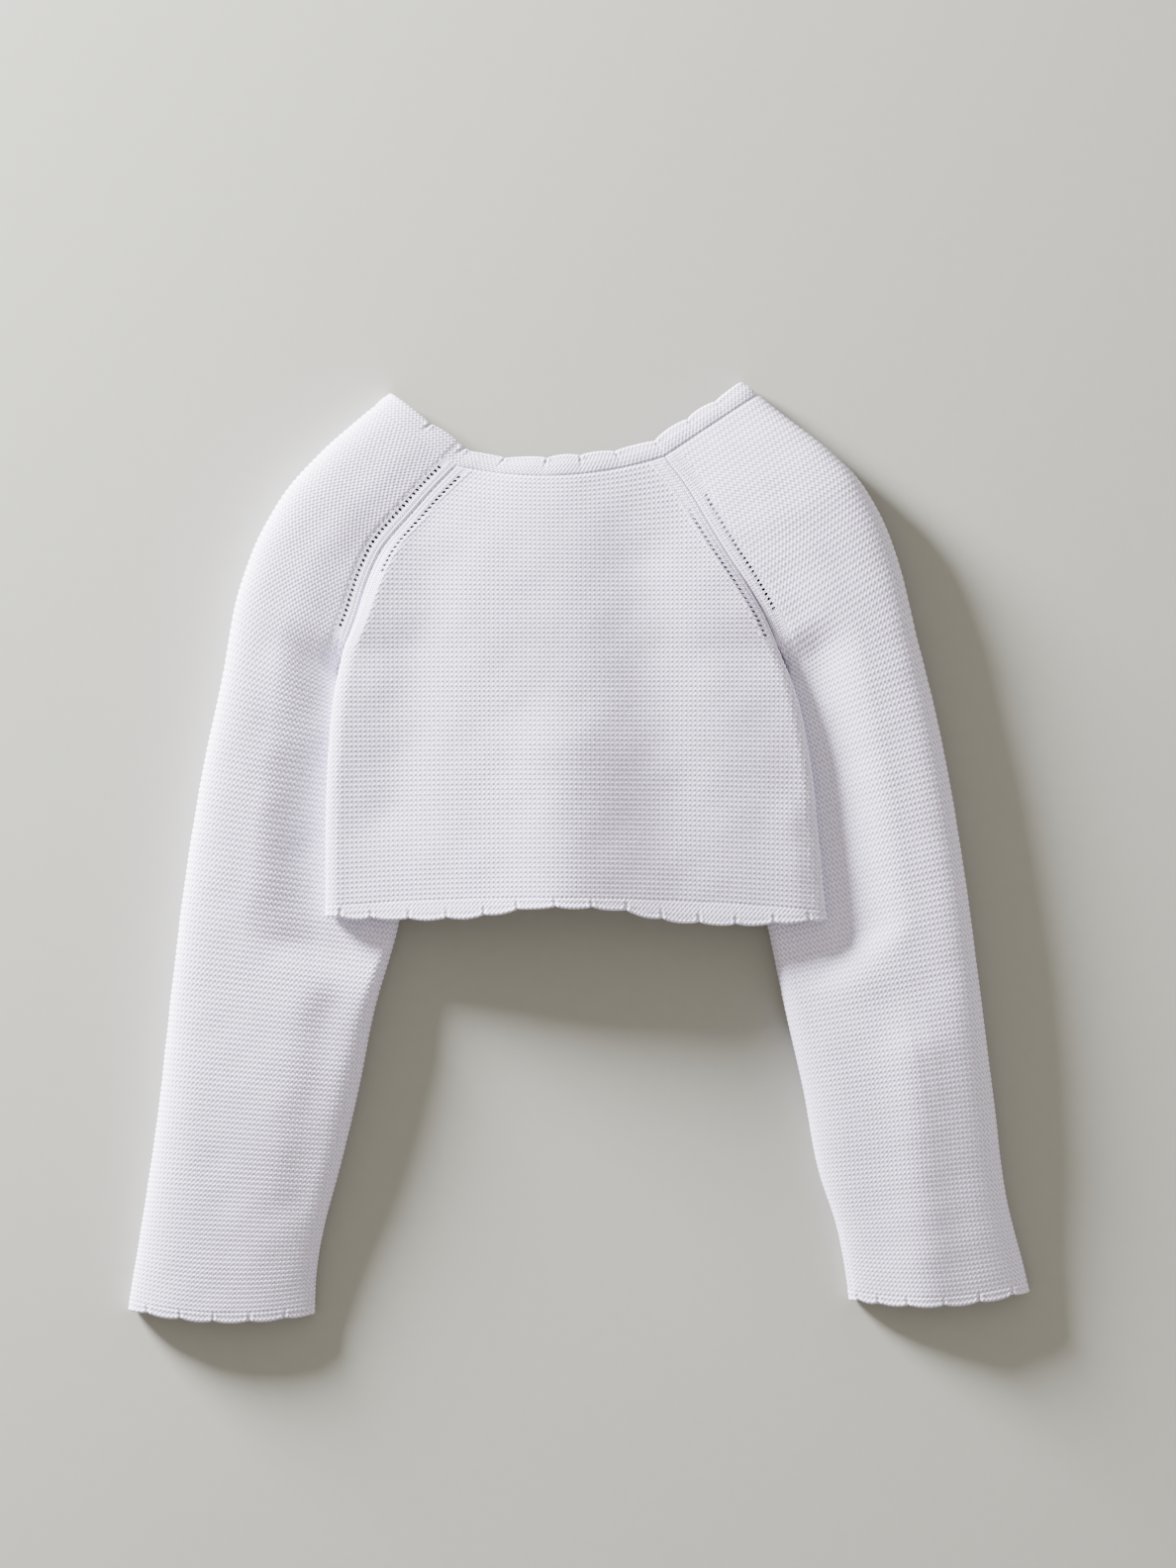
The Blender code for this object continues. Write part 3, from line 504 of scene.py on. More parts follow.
def front_lines(side, raglan, underarm_points, edge_x):
    """Outer and inner section lines of a front, from the hem to the neck."""
    inner_fold = curve(underarm_points)(np.linspace(0.0, 1.0, UNDERARM_LINE_STEPS))
    outer, inner = [], []
    for at, row, seam in zip(BODY_AT, read_table(BODY_ROWS, BODY_AT), body_edge(side, raglan)):
        curl, shelf = (0.0, seam[2]) if at > 0 else (row.curl, row.shelf)
        start = seam - np.array([0.0, 0.0, SEAM_GAP / 2 * curl])
        reach = np.array([edge_x, row.front_y]) - start[:2]
        length = np.linalg.norm(reach)
        way = reach / length
        start[:2] += way * RAGLAN_GAP / 2 * (1 - curl)
        length -= RAGLAN_GAP / 2 * (1 - curl)
        near = np.abs(inner_fold[:, 1] - start[1]) < SHELF_REACH
        covered = np.max((inner_fold[near, 0] - start[0]) * np.sign(way[0]), initial=0.0)
        covered *= float(at < 0)
        drop = start[2] - shelf
        fold = min(SIDE_FOLD, max(LEAST_FOLD, drop))
        inward, to_go = quarter(fold, drop, curl, FOLD_STEPS)
        middle = np.linspace(fold, length, FRONT_MIDDLE_STEPS + 1)[1:]
        run = np.concatenate([inward, middle])
        height = shelf * (1 - ease((run - covered - SHELF_MARGIN) / SHELF_RAMP))
        height[:FOLD_STEPS] += to_go
        inner_run, inner_height = inset(run, height, WALL, curl, 0.0)
        scoop = row.scoop * arch(run / length)
        shift = np.column_stack([0 * scoop, -scoop])
        outer.append(np.column_stack([start[:2] + way * run[:, None] + shift, height]))
        inner_places = start[:2] + way * inner_run[:, None] + shift
        inner.append(np.column_stack([inner_places, inner_height]))
    return rows_of_knitting(outer, inner, BODY_AT, len(outer[0]) // 2, BODY_GAUGE)


# %% All the lines
LINES = {
    "back": back_lines(),
    "front_left": front_lines(SIDE_LEFT, FRONT_RAGLAN_LEFT, UNDERARM_LEFT, FRONT_EDGE_LEFT),
    "front_right": front_lines(SIDE_RIGHT, FRONT_RAGLAN_RIGHT, UNDERARM_RIGHT, FRONT_EDGE_RIGHT),
    "sleeve_left": sleeve_lines(FOLD_LEFT, UNDERARM_LEFT, BACK_RAGLAN_LEFT, FRONT_RAGLAN_LEFT),
    "sleeve_right": sleeve_lines(FOLD_RIGHT, UNDERARM_RIGHT, BACK_RAGLAN_RIGHT,
                                 FRONT_RAGLAN_RIGHT),
}
for name, (outer, inner, rows) in LINES.items():
    print(name, "rows and points:", outer.shape[:2])

# %% [markdown]
# ## Stitches in the mesh
#
# Garter stitch shows a ridge for every two rows. A ridge is one yarn that snakes up over a
# loop's head and down under the next sinker, so its bumps form a chequer of small beads.
# One way to make it is to lay a yarn curve for each row, but a garment has some thirty
# thousand stitches. Here the panel's own grid carries them: three rows of points a ridge,
# for the valley, the sinkers and the heads, and two columns a stitch.
#
# The columns run straight up the fabric at the stitch's width, as real wales do. Where a
# panel narrows, a wale ends at the raglan band, so each row's points are clipped there, and
# clipped points that fall together become one.

# %% Columns of a panel
# Distance from the seam, and how far the cloth stands proud there: the seam's groove, two
# plain wales, the row of eyelets, and the chain of larger stitches beyond it.
BandColumn = namedtuple("BandColumn", "away height")
BAND = (
    BandColumn(0.0, -0.34), BandColumn(0.40, -0.06), BandColumn(0.90, 0.14),
    BandColumn(1.40, 0.12), BandColumn(1.85, -0.04), BandColumn(2.30, 0.10),
    BandColumn(2.80, 0.14), BandColumn(3.30, 0.08), BandColumn(3.75, 0.0),
    BandColumn(3.98, -0.04), BandColumn(4.80, -0.06), BandColumn(5.62, -0.02),
    BandColumn(6.25, 0.12), BandColumn(7.00, 0.0),
)
BAND_AWAY = np.array([column.away for column in BAND])
BAND_HEIGHT = np.array([column.height for column in BAND])
EYELET_COLUMNS = (9, 10, 11)
EYELET_PITCH = 2.25
EYELET_CORNER = 0.6
BAND_STITCH = 0.10
BAND_FADE = 10.0
INNER_COLUMN_STEP = 8.0

# A column nearer to the band than this share of a stitch ends on the band itself.
SNAP = 0.3
TOUCHING = 1e-6
print("raglan band:", BAND_AWAY[-1], "mm wide, with an eyelet every", EYELET_PITCH, "mm")


# A row of eyelets beside a seam: the stretch of the garment that it runs along, and half the
# height of an eyelet. The first row of a panel lies at its start band, the second at its end.
EyeletRow = namedtuple("EyeletRow", "low high half")
EYELETS = {
    "back": (EyeletRow(119.0, 160.0, 0.80), EyeletRow(91.0, 147.0, 0.70)),
    "sleeve_left": (EyeletRow(95.5, 164.0, 0.66), EyeletRow(95.0, 135.0, 0.50)),
    "sleeve_right": (EyeletRow(102.5, 152.0, 0.62), EyeletRow(95.0, 135.0, 0.50)),
    "front_left": (EyeletRow(95.0, 135.0, 0.50),),
    "front_right": (EyeletRow(95.0, 135.0, 0.50),),
}


def eyelets_along(line, row):
    """The eyelets on one column of points: their row, their place and their half height."""
    steps = np.linalg.norm(np.diff(line, axis=0), axis=1)
    run = np.concatenate([[0.0], np.cumsum(steps)])
    inside = np.flatnonzero((line[:, 1] > row.low) & (line[:, 1] < row.high))
    places = np.interp(np.arange(run[inside[0]], run[inside[-1]], EYELET_PITCH), run,
                       np.arange(len(run)))
    return [(int(at), at, row.half / steps[int(at)]) for at in places]


def measure(lines):
    """The length along each row's line, at each of its points."""
    steps = np.linalg.norm(np.diff(lines, axis=1), axis=2)
    return np.concatenate([np.zeros((len(lines), 1)), np.cumsum(steps, axis=1)], axis=1)


def spread_columns(lengths, anchor, offsets, end_band):
    """Where the columns of each row lie: a band, the stitches, and a band or a plain edge."""
    total = lengths[:, -1:]
    low = np.full_like(total, BAND_AWAY[-1])
    high = total - (BAND_AWAY[-1] if end_band else 0.0)
    middle = anchor[:, None] + offsets[None, :]
    step = np.abs(np.diff(offsets)).min()
    middle = np.where(middle < low + SNAP * step, low, middle)
    middle = np.where(middle > high - SNAP * step, high, middle)
    start = np.broadcast_to(BAND_AWAY, (len(total), len(BAND)))
    end = total - BAND_AWAY[::-1] if end_band else total
    return np.hstack([start, middle, end])


def place(lines, lengths, columns):
    """Points of every row's line at its columns."""
    return np.stack([[np.interp(s, run, line[:, k]) for s, run, line in
                      zip(columns, lengths, lines)] for k in range(3)], axis=-1)


# %% Height of the stitches
Relief = namedtuple("Relief", "ridge bead")
BODY_RELIEF = Relief(0.07, 0.24)
SLEEVE_RELIEFS = {"sleeve_left": Relief(0.15, 0.17), "sleeve_right": Relief(0.06, 0.14)}
WAVE_COUNT = 9
WAVE_SPREAD = (0.6, 1.4)


def soft_waves(points, length, seed):
    """A slow, uneven swell about as long as length, between about -1 and 1."""
    chance = np.random.default_rng(seed)
    total = np.zeros(points.shape[:-1])
    for _ in range(WAVE_COUNT):
        way = chance.normal(size=2)
        way *= 2 * math.pi / length / np.linalg.norm(way) * chance.uniform(*WAVE_SPREAD)
        total += np.sin(points[..., 0] * way[0] + points[..., 1] * way[1]
                        + chance.uniform(0, 2 * math.pi))
    return total / math.sqrt(WAVE_COUNT)


def stitch_height(stitches, ridges, relief):
    """Heads and sinkers of garter stitch, alternately, with a valley between the ridges."""
    turn = 2 * math.pi * ridges
    return (-relief.ridge * np.cos(turn)
            - relief.bead * np.sin(turn) * np.cos(2 * math.pi * stitches))


# %% Joining the two faces
def zip_rims(first, second, first_at, second_at):
    """Triangles between two rows of points that start and end together."""
    faces, i, j = [], 0, 0
    while i < len(first) - 1 or j < len(second) - 1:
        ahead = j == len(second) - 1 or (i < len(first) - 1 and
                                         first_at[i + 1] <= second_at[j + 1])
        if ahead:
            if first[i] != first[i + 1]:
                faces.append((first[i], first[i + 1], second[j]))
            i += 1
        else:
            if second[j] != second[j + 1]:
                faces.append((first[i], second[j + 1], second[j]))
            j += 1
    return faces


def number_points(columns):
    """One number for each point, the same for points of a row that fall together."""
    new = np.ones(columns.shape, bool)
    new[:, 1:] = np.diff(columns, axis=1) > TOUCHING
    return np.cumsum(new.ravel()).reshape(columns.shape) - 1, new


def grid_faces(number, skip):
    """Faces of a grid of numbered points, without those that are skipped or have no area."""
    a, b, c, d = number[:-1, :-1], number[:-1, 1:], number[1:, 1:], number[1:, :-1]
    keep = ~skip
    both = keep & (a != b) & (c != d)
    low = keep & (a != b) & (c == d)
    high = keep & (a == b) & (c != d)
    faces = np.stack([a[both], b[both], c[both], d[both]], axis=1).tolist()
    faces += np.stack([a[low], b[low], c[low]], axis=1).tolist()
    faces += np.stack([a[high], c[high], d[high]], axis=1).tolist()
    return faces


def add_object(name, data):
    """A new object in the scene."""
    thing = bpy.data.objects.new(name, data)
    bpy.context.scene.collection.objects.link(thing)
    return thing


def finish_mesh(name, points, faces, layers, values):
    """A closed, smoothly shaded mesh with its knitting coordinates as UV layers."""
    mesh = bpy.data.meshes.new(name)
    mesh.from_pydata((points * MM).tolist(), [], faces)
    shape = bmesh.new()
    shape.from_mesh(mesh)
    bmesh.ops.recalc_face_normals(shape, faces=shape.faces)
    if shape.calc_volume(signed=True) < 0:
        bmesh.ops.reverse_faces(shape, faces=shape.faces)
    open_edges = sum(not edge.is_manifold for edge in shape.edges)
    shape.to_mesh(mesh)
    shape.free()
    corners = np.empty(len(mesh.loops), np.int32)
    mesh.loops.foreach_get("vertex_index", corners)
    for layer, uv in layers.items():
        mesh.uv_layers.new(name=layer).data.foreach_set("uv", uv[corners].ravel())
    for attribute, value in values.items():
        mesh.attributes.new(attribute, "FLOAT", "POINT").data.foreach_set("value", value)
    mesh.shade_smooth()
    mesh.set_sharp_from_angle(angle=RIM_ANGLE)
    mesh.update()
    triangles = sum(len(face.vertices) - 2 for face in mesh.polygons)
    print(name, triangles, "triangles,", open_edges, "open edges")
    return add_object(name, mesh)


# %% Height of a panel's cloth
SLEEVES = ("sleeve_left", "sleeve_right")
RIM_WIDTH = 1.2
SIDE_DROP = 0.35
BAND_STITCH_FADE = 1.5
UNDERARM_SEAM_AWAY = 3.3
UNDERARM_SEAM_WIDTH = 0.45
UNDERARM_SEAM_DEPTH = 0.30


def cloth_height(name, columns, away, in_band, stitches, ridges, banded, relief):
    """How far the cloth stands out: the raglan band or the plain side, and the knitting."""
    band = np.interp(away, BAND_AWAY, BAND_HEIGHT) + BAND_STITCH * np.cos(
        2 * math.pi * (ridges + away / BAND_AWAY[-1])) * ease(away / BAND_STITCH_FADE)
    knit = stitch_height(stitches, ridges, relief)
    rim = ease(1 - away / RIM_WIDTH)
    seam_line = soft_line(columns - UNDERARM_SEAM_AWAY, UNDERARM_SEAM_WIDTH)
    seam_line *= UNDERARM_SEAM_DEPTH * (name in SLEEVES)
    plain_side = knit * (1 - rim) - SIDE_DROP * rim - seam_line
    return np.where(in_band, band * banded + plain_side * (1 - banded), knit)


# %% Eyelets of a panel
def open_eyelets(name, grids):
    """Each eyelet's columns and row, with the points round it moved to its true place."""
    first, middle, last = EYELET_COLUMNS
    eyelets = []
    for row, cells in zip(EYELETS[name], ((first, middle, last),
                                          (-1 - last, -1 - middle, -1 - first))):
        found = eyelets_along(grids[0][1][:, cells[1]], row)
        eyelets += [(cells, row_below) for row_below, _, _ in found]
        for _, points in grids:
            for column in cells:
                line = points[:, column].copy()
                share = 1.0 if column == cells[1] else EYELET_CORNER
                for row_below, at, half in found:
                    for target, place_at in ((row_below, at - share * half),
                                             (row_below + 1, at + share * half)):
                        low = int(place_at)
                        points[target, column] = line[low] + (place_at - low) * (
                            line[low + 1] - line[low])
    return eyelets


def joining_faces(top, plain, top_at, plain_at, eyelets):
    """Walls between the two faces: round each eyelet, up the sides and along the ends."""
    faces = []
    for cells, row in eyelets:
        loops = []
        for grid in (top, plain):
            a, b, c = (cell % grid.shape[1] for cell in cells)
            loops.append([grid[row, a], grid[row, b], grid[row, c],
                          grid[row + 1, c], grid[row + 1, b], grid[row + 1, a]])
        for i, j in zip(range(6), (1, 2, 3, 4, 5, 0)):
            faces.append((loops[0][i], loops[0][j], loops[1][j], loops[1][i]))
    for column in (0, -1):
        for row in range(len(top) - 1):
            faces.append((top[row, column], top[row + 1, column],
                          plain[row + 1, column], plain[row, column]))
    for row in (0, -1):
        faces += zip_rims(top[row], plain[row], top_at[row], plain_at[row])
    return faces


# %% A knitted panel
LAST_ROW_DROP = 0.25
NEXT_ROW_SHARE = 0.3
WAVE_LENGTH = 21.0
WAVE_LIFT = 0.05
WAVE_FADE = 6.0
INNER_RELIEF_SHARE = 0.5
# Width of the painted shade along the seam's groove.
PIT_WIDTH = 0.7


def knit_panel(name, anchor, offsets, inner_offsets, stitch, relief, underarm, end_band, seed):
    """A panel as a closed shell: knitted outer face, plainer inner face, eyelets cut through."""
    outer_lines, inner_lines, row_at = LINES[name]
    lengths = measure(outer_lines)
    total = lengths[:, -1:]
    row = np.arange(len(outer_lines))[:, None]
    ridges = row / ROWS_PER_RIDGE
    banded = ease((row - np.searchsorted(row_at, underarm)) / BAND_FADE)
    edge = np.where(row == row[-1], 1.0, 0.0) + NEXT_ROW_SHARE * (row == row[-2])

    grids, layers, values = [], {"knit": [], "seam": []}, {"wales": [], "groove_shade": []}
    for side, columns_at in ((1, offsets), (-1, inner_offsets)):
        columns = spread_columns(lengths, anchor, columns_at, end_band)
        outer = place(outer_lines, lengths, columns)
        inner = place(inner_lines, lengths, columns)
        normal = outer - inner
        normal /= np.linalg.norm(normal, axis=2, keepdims=True)
        stitches = (columns - anchor[:, None]) / stitch
        away = np.minimum(columns, total - columns) if end_band else columns
        in_band = away < BAND_AWAY[-1] - TOUCHING
        height = cloth_height(name, columns, away, in_band, stitches, ridges, banded, relief)
        height = height * (1 - edge) - LAST_ROW_DROP * edge
        if not end_band:
            plain = ease(1 - (total - columns) / RIM_WIDTH)
            height = height * (1 - plain) - SIDE_DROP * plain
        height = height + WAVE_LIFT * soft_waves(outer[..., :2], WAVE_LENGTH, seed) * (
            1 - edge) * ease(away / WAVE_FADE)
        if side < 0:
            height = height * INNER_RELIEF_SHARE
        points = (outer if side > 0 else inner) + normal * (side * height)[..., None]
        points[..., 2] = np.maximum(points[..., 2], 0.0)
        grids.append((columns, points))
        up = np.broadcast_to(ridges, columns.shape)
        layers["knit"].append(np.stack([stitches, up], axis=-1))
        layers["seam"].append(np.stack([away, up], axis=-1))
        values["wales"].append(in_band * banded)
        # Painted shade along the groove of the raglan seam.
        values["groove_shade"].append(in_band * banded * ease(1 - away / PIT_WIDTH))

    eyelets = open_eyelets(name, grids)
    faces, points_made, numbers = [], [], []
    for side, (columns, points) in enumerate(grids):
        number, new = number_points(columns)
        number = number + sum(map(len, points_made))
        skip = np.zeros((len(columns) - 1, columns.shape[1] - 1), bool)
        for cells, eyelet_row in eyelets:
            low = cells[0] % columns.shape[1]
            skip[eyelet_row, low:low + 2] = True
        faces += grid_faces(number, skip)
        numbers.append(number)
        points_made.append(points[new])
        for stack in (*layers.values(), *values.values()):
            stack[side] = stack[side][new]
    faces += joining_faces(*numbers, grids[0][0], grids[1][0], eyelets)
    return finish_mesh(name + "_knit", np.vstack(points_made), faces,
                       {key: np.vstack(value) for key, value in layers.items()},
                       {key: np.concatenate(value) for key, value in values.items()})


# %% [markdown]
# ## The five panels
#
# Each panel starts its stitches from a line that stays straight on the real fabric: the
# middle of the back, the outer fold of a sleeve, which is its centre line, and the front
# edge of a front. The face that lies on the table is never seen closely, so its columns are
# wider apart, and only its material shows the stitches.

# %% Knit the panels
HIDDEN_COLUMN_STEP = 3.7
BACK_MIDDLE_X = -1.5
OUTER_FOLD_POINT = FOLD_STEPS + SLOPE_STEPS + DOME_STEPS - 1


def steps_out(reach, step):
    """Distances from 0 out to a reach."""
    return np.arange(1, int(reach / step) + 2) * step


def knit_back():
    """The back, whose stitches start from its straight middle wale."""
    outer = LINES["back"][0]
    lengths = measure(outer)
    anchor = np.array([np.interp(BACK_MIDDLE_X, line[:, 0], run)
                       for line, run in zip(outer, lengths)])
    half = steps_out(max(anchor.max(), (lengths[:, -1] - anchor).max()), STITCH_BACK / 2)
    offsets = np.concatenate([-half[::-1], [0.0], half])
    wide = steps_out(half[-1], INNER_COLUMN_STEP)
    inner = np.concatenate([-wide[::-1], [0.0], wide])
    return knit_panel("back", anchor, offsets, inner, STITCH_BACK,
                      BODY_RELIEF, 0.0, True, 3)


def knit_sleeve(name, seed):
    """A sleeve, whose stitches start from its outer fold."""
    lengths = measure(LINES[name][0])
    anchor = lengths[:, OUTER_FOLD_POINT]
    upper = steps_out(anchor.max(), STITCH_SLEEVE / 2)
    lower = steps_out((lengths[:, -1] - anchor).max(), HIDDEN_COLUMN_STEP)
    offsets = np.concatenate([-upper[::-1], [0.0], lower])
    wide = [steps_out(reach[-1], INNER_COLUMN_STEP) for reach in (upper, lower)]
    inner = np.concatenate([-wide[0][::-1], [0.0], wide[1]])
    return knit_panel(name, anchor, offsets, inner, STITCH_SLEEVE,
                      SLEEVE_RELIEFS[name], UNDERARM_AT, True, seed)


def knit_front(name, seed):
    """A front, whose stitches start from its front edge."""
    lengths = measure(LINES[name][0])
    anchor = lengths[:, -1]
    offsets = -steps_out(anchor.max(), HIDDEN_COLUMN_STEP)[::-1]
    inner = -steps_out(anchor.max(), INNER_COLUMN_STEP)[::-1]
    return knit_panel(name, anchor, offsets, inner, STITCH_BACK,
                      BODY_RELIEF, 0.0, False, seed)


panels = {"back": knit_back()}
for seed, side in enumerate(("left", "right"), start=5):
    panels["sleeve_" + side] = knit_sleeve("sleeve_" + side, seed)
    panels["front_" + side] = knit_front("front_" + side, seed + 10)

# %% [markdown]
# ## Scalloped borders
#
# The border is knitted on from the panel's edge. It swells between its pinches, where two
# tight threads draw the edge in, and that makes the row of soft lobes. The strip is drawn
# outwards from the same end rows as the panels, so it follows every rise of the cloth.

# %% Lines of the borders
LOBE_PITCH = 15.3
LOBE_DEPTH = 1.3
LOBE_FULLNESS = 0.5
BORDER_STEP = 0.45
WAY_SMOOTHING = 180
RIDGES_BACK = 3
SHORTEST_STEP = 1e-4
HEM_WIDTH = 4.6
CUFF_WIDTH = 4.6
NECK_WIDTH = 9.0
# How far across the garment the pinches lie that the photograph shows.
PINCHES_SEEN = {
    "hem_border_back": (-101.4, -88.2, -72.5, -56.5, -40.8, -26.7, -10.7, 4.6, 18.9, 33.8,
                        49.3, 64.7, 81.0, 96.0),
    "cuff_border_left": (-182.9, -169.3, -155.2, -139.7, -125.0),
    "cuff_border_right": (117.4, 125.4, 137.8, 153.1, 168.4, 182.1),
    "neck_border": (-69.3, -54.8, -36.9, -16.2, 1.5, 18.7, 36.3, 50.6, 63.2),
}


def edge_line(name, last, reverse=False):
    """The end row of a panel, both faces, and the way its cloth would go on past it."""
    outer, inner, _ = LINES[name]
    away = ROWS_PER_RIDGE * RIDGES_BACK
    row, before = (-1, -1 - away) if last else (0, away)
    way = outer[row] - outer[before]
    way = way / np.linalg.norm(way, axis=1)[:, None]
    line = [outer[row], inner[row], way]
    return [part[::-1] for part in line] if reverse else line


def even_line(line):
    """The same edge with points at even steps, and its length."""
    outer, inner, way = line
    steps = np.linalg.norm(np.diff((outer + inner) / 2, axis=0), axis=1)
    keep = np.concatenate([[True], steps > SHORTEST_STEP])
    outer, inner, way = outer[keep], inner[keep], way[keep]
    steps = np.linalg.norm(np.diff((outer + inner) / 2, axis=0), axis=1)
    places = np.concatenate([[0.0], np.cumsum(steps)])
    at = np.linspace(0.0, places[-1], int(places[-1] / BORDER_STEP) + 1)
    parts = [np.stack([np.interp(at, places, axis) for axis in part.T], axis=-1)
             for part in (outer, inner, way)]
    return at, parts


def soften(way, rounds):
    """Directions evened out along the edge."""
    way = way.copy()
    for _ in range(rounds):
        way[1:-1] = (way[:-2] + 2 * way[1:-1] + way[2:]) / 4
    return way / np.linalg.norm(way, axis=1)[:, None]


# %% Pinches along a border
def even_pinches(start, end):
    """Pinches in the middles of even lobes, between two distances along an edge."""
    lobes = max(1, round((end - start) / LOBE_PITCH))
    return start + (np.arange(lobes) + 0.5) * (end - start) / lobes


def pinches_along(name, line):
    """Distances of a border's pinches along its edge: those seen, and the rest evenly."""
    at, (outer, _, _) = even_line(line)
    x = outer[:, 0]
    if name not in PINCHES_SEEN:
        return even_pinches(0.0, at[-1])
    first, last = {"hem_border_back": (0, len(x) - 1), "neck_border": (x.argmax(), x.argmin()),
                   "cuff_border_left": (0, x.argmin()), "cuff_border_right": (0, x.argmax()),
                   }[name]
    seen_x, seen_at = x[first:last + 1], at[first:last + 1]
    order = np.argsort(seen_x)
    seen = np.sort(np.interp(PINCHES_SEEN[name], seen_x[order], seen_at[order]))
    before = even_pinches(0.0, at[first]) if first > 0 else []
    after = even_pinches(at[last], at[-1]) if last < len(x) - 1 else []
    return np.concatenate([before, seen, after])


# %% Form of a border
# Points across the border, closer together beside the panel and at the rim.
ACROSS = np.array([0.0, 0.03, 0.08, 0.16, 0.26, 0.37, 0.48, 0.59, 0.70, 0.79, 0.86, 0.92,
                   0.96, 1.0])
PINCH_LENGTH = 5.5
PINCH_WIDTH = 0.7
PINCH_DEPTH = 0.36
PINCH_START = 0.3
PINCH_LEAN = 0.05
LEAN_POWER = 1.5
THREAD_AWAY = 1.3
THREAD_WIDTH = 0.5
THREAD_LIFT = 0.26
NECK_PUFF = 0.5
PLAIN_PUFF = 0.08
PUFF_AT_PINCH = 0.45
RIM_AWAY = 0.7
RIM_LIFT = 0.14
RIM_LIFT_WIDTH = 0.4
RIM_WALE_WIDTH = 0.6
RIM_GROOVE = 0.16
RIM_GROOVE_AWAY = 2.1
RIM_GROOVE_WIDTH = 0.4
RIM_ROUND = 0.9
SHARPEST_ROUND = 0.02
BORDER_RIDGE = 2.0
BORDER_RIDGE_LIFT = 0.10
BORDER_RIDGES_FROM = 2.4

# Where the neck border joins the panels, a groove fades in towards the garment's right.
BASE_GROOVE = 0.32
BASE_GROOVE_WIDTH = 0.55
NECK_GROOVE_FROM = -56.0
NECK_GROOVE_FADE = 14.0
# How dark the painted shade gets in the pinch grooves and in the groove at the neck border's
# base.
PINCH_SHADE, BASE_SHADE = 0.5, 0.7

# The back's hem dips and rises: how far its border reaches past the last ridge.
Reach = namedtuple("Reach", "x width")
HEM_REACH = (
    Reach(-107.7, 4.6), Reach(-96.4, 6.7), Reach(-80.4, 7.8), Reach(-64.0, 8.8),
    Reach(-50.6, 8.8), Reach(-34.2, 7.1), Reach(-18.3, 4.9), Reach(-3.2, 4.8),
    Reach(14.5, 5.3), Reach(28.4, 8.2), Reach(41.8, 9.7), Reach(59.0, 9.9),
    Reach(72.9, 9.0), Reach(88.4, 6.9), Reach(100.2, 5.0), Reach(104.2, 3.8),
)


def lobes_along(at, pinches):
    """How many lobes lie between each point and the first pinch, evenly past both ends."""
    first, last = pinches[1] - pinches[0], pinches[-1] - pinches[-2]
    lobe = np.interp(at, pinches, np.arange(len(pinches)))
    lobe = np.where(at < pinches[0], (at - pinches[0]) / first, lobe)
    return np.where(at > pinches[-1], len(pinches) - 1 + (at - pinches[-1]) / last, lobe)


def closed_strip(number):
    """Faces of both sides of a strip, given one side's numbers, and of the wall round it."""
    count = number.size
    no_skip = np.zeros((number.shape[0] - 1, number.shape[1] - 1), bool)
    faces = grid_faces(number, no_skip) + grid_faces(number + count, no_skip)
    ring = np.concatenate([number[:, 0], number[-1, 1:], number[:-1, -1][::-1],
                           number[0, 1:-1][::-1]])
    following = np.roll(ring, -1)
    return faces + np.stack([ring, following, following + count, ring + count],
                            axis=1).tolist()


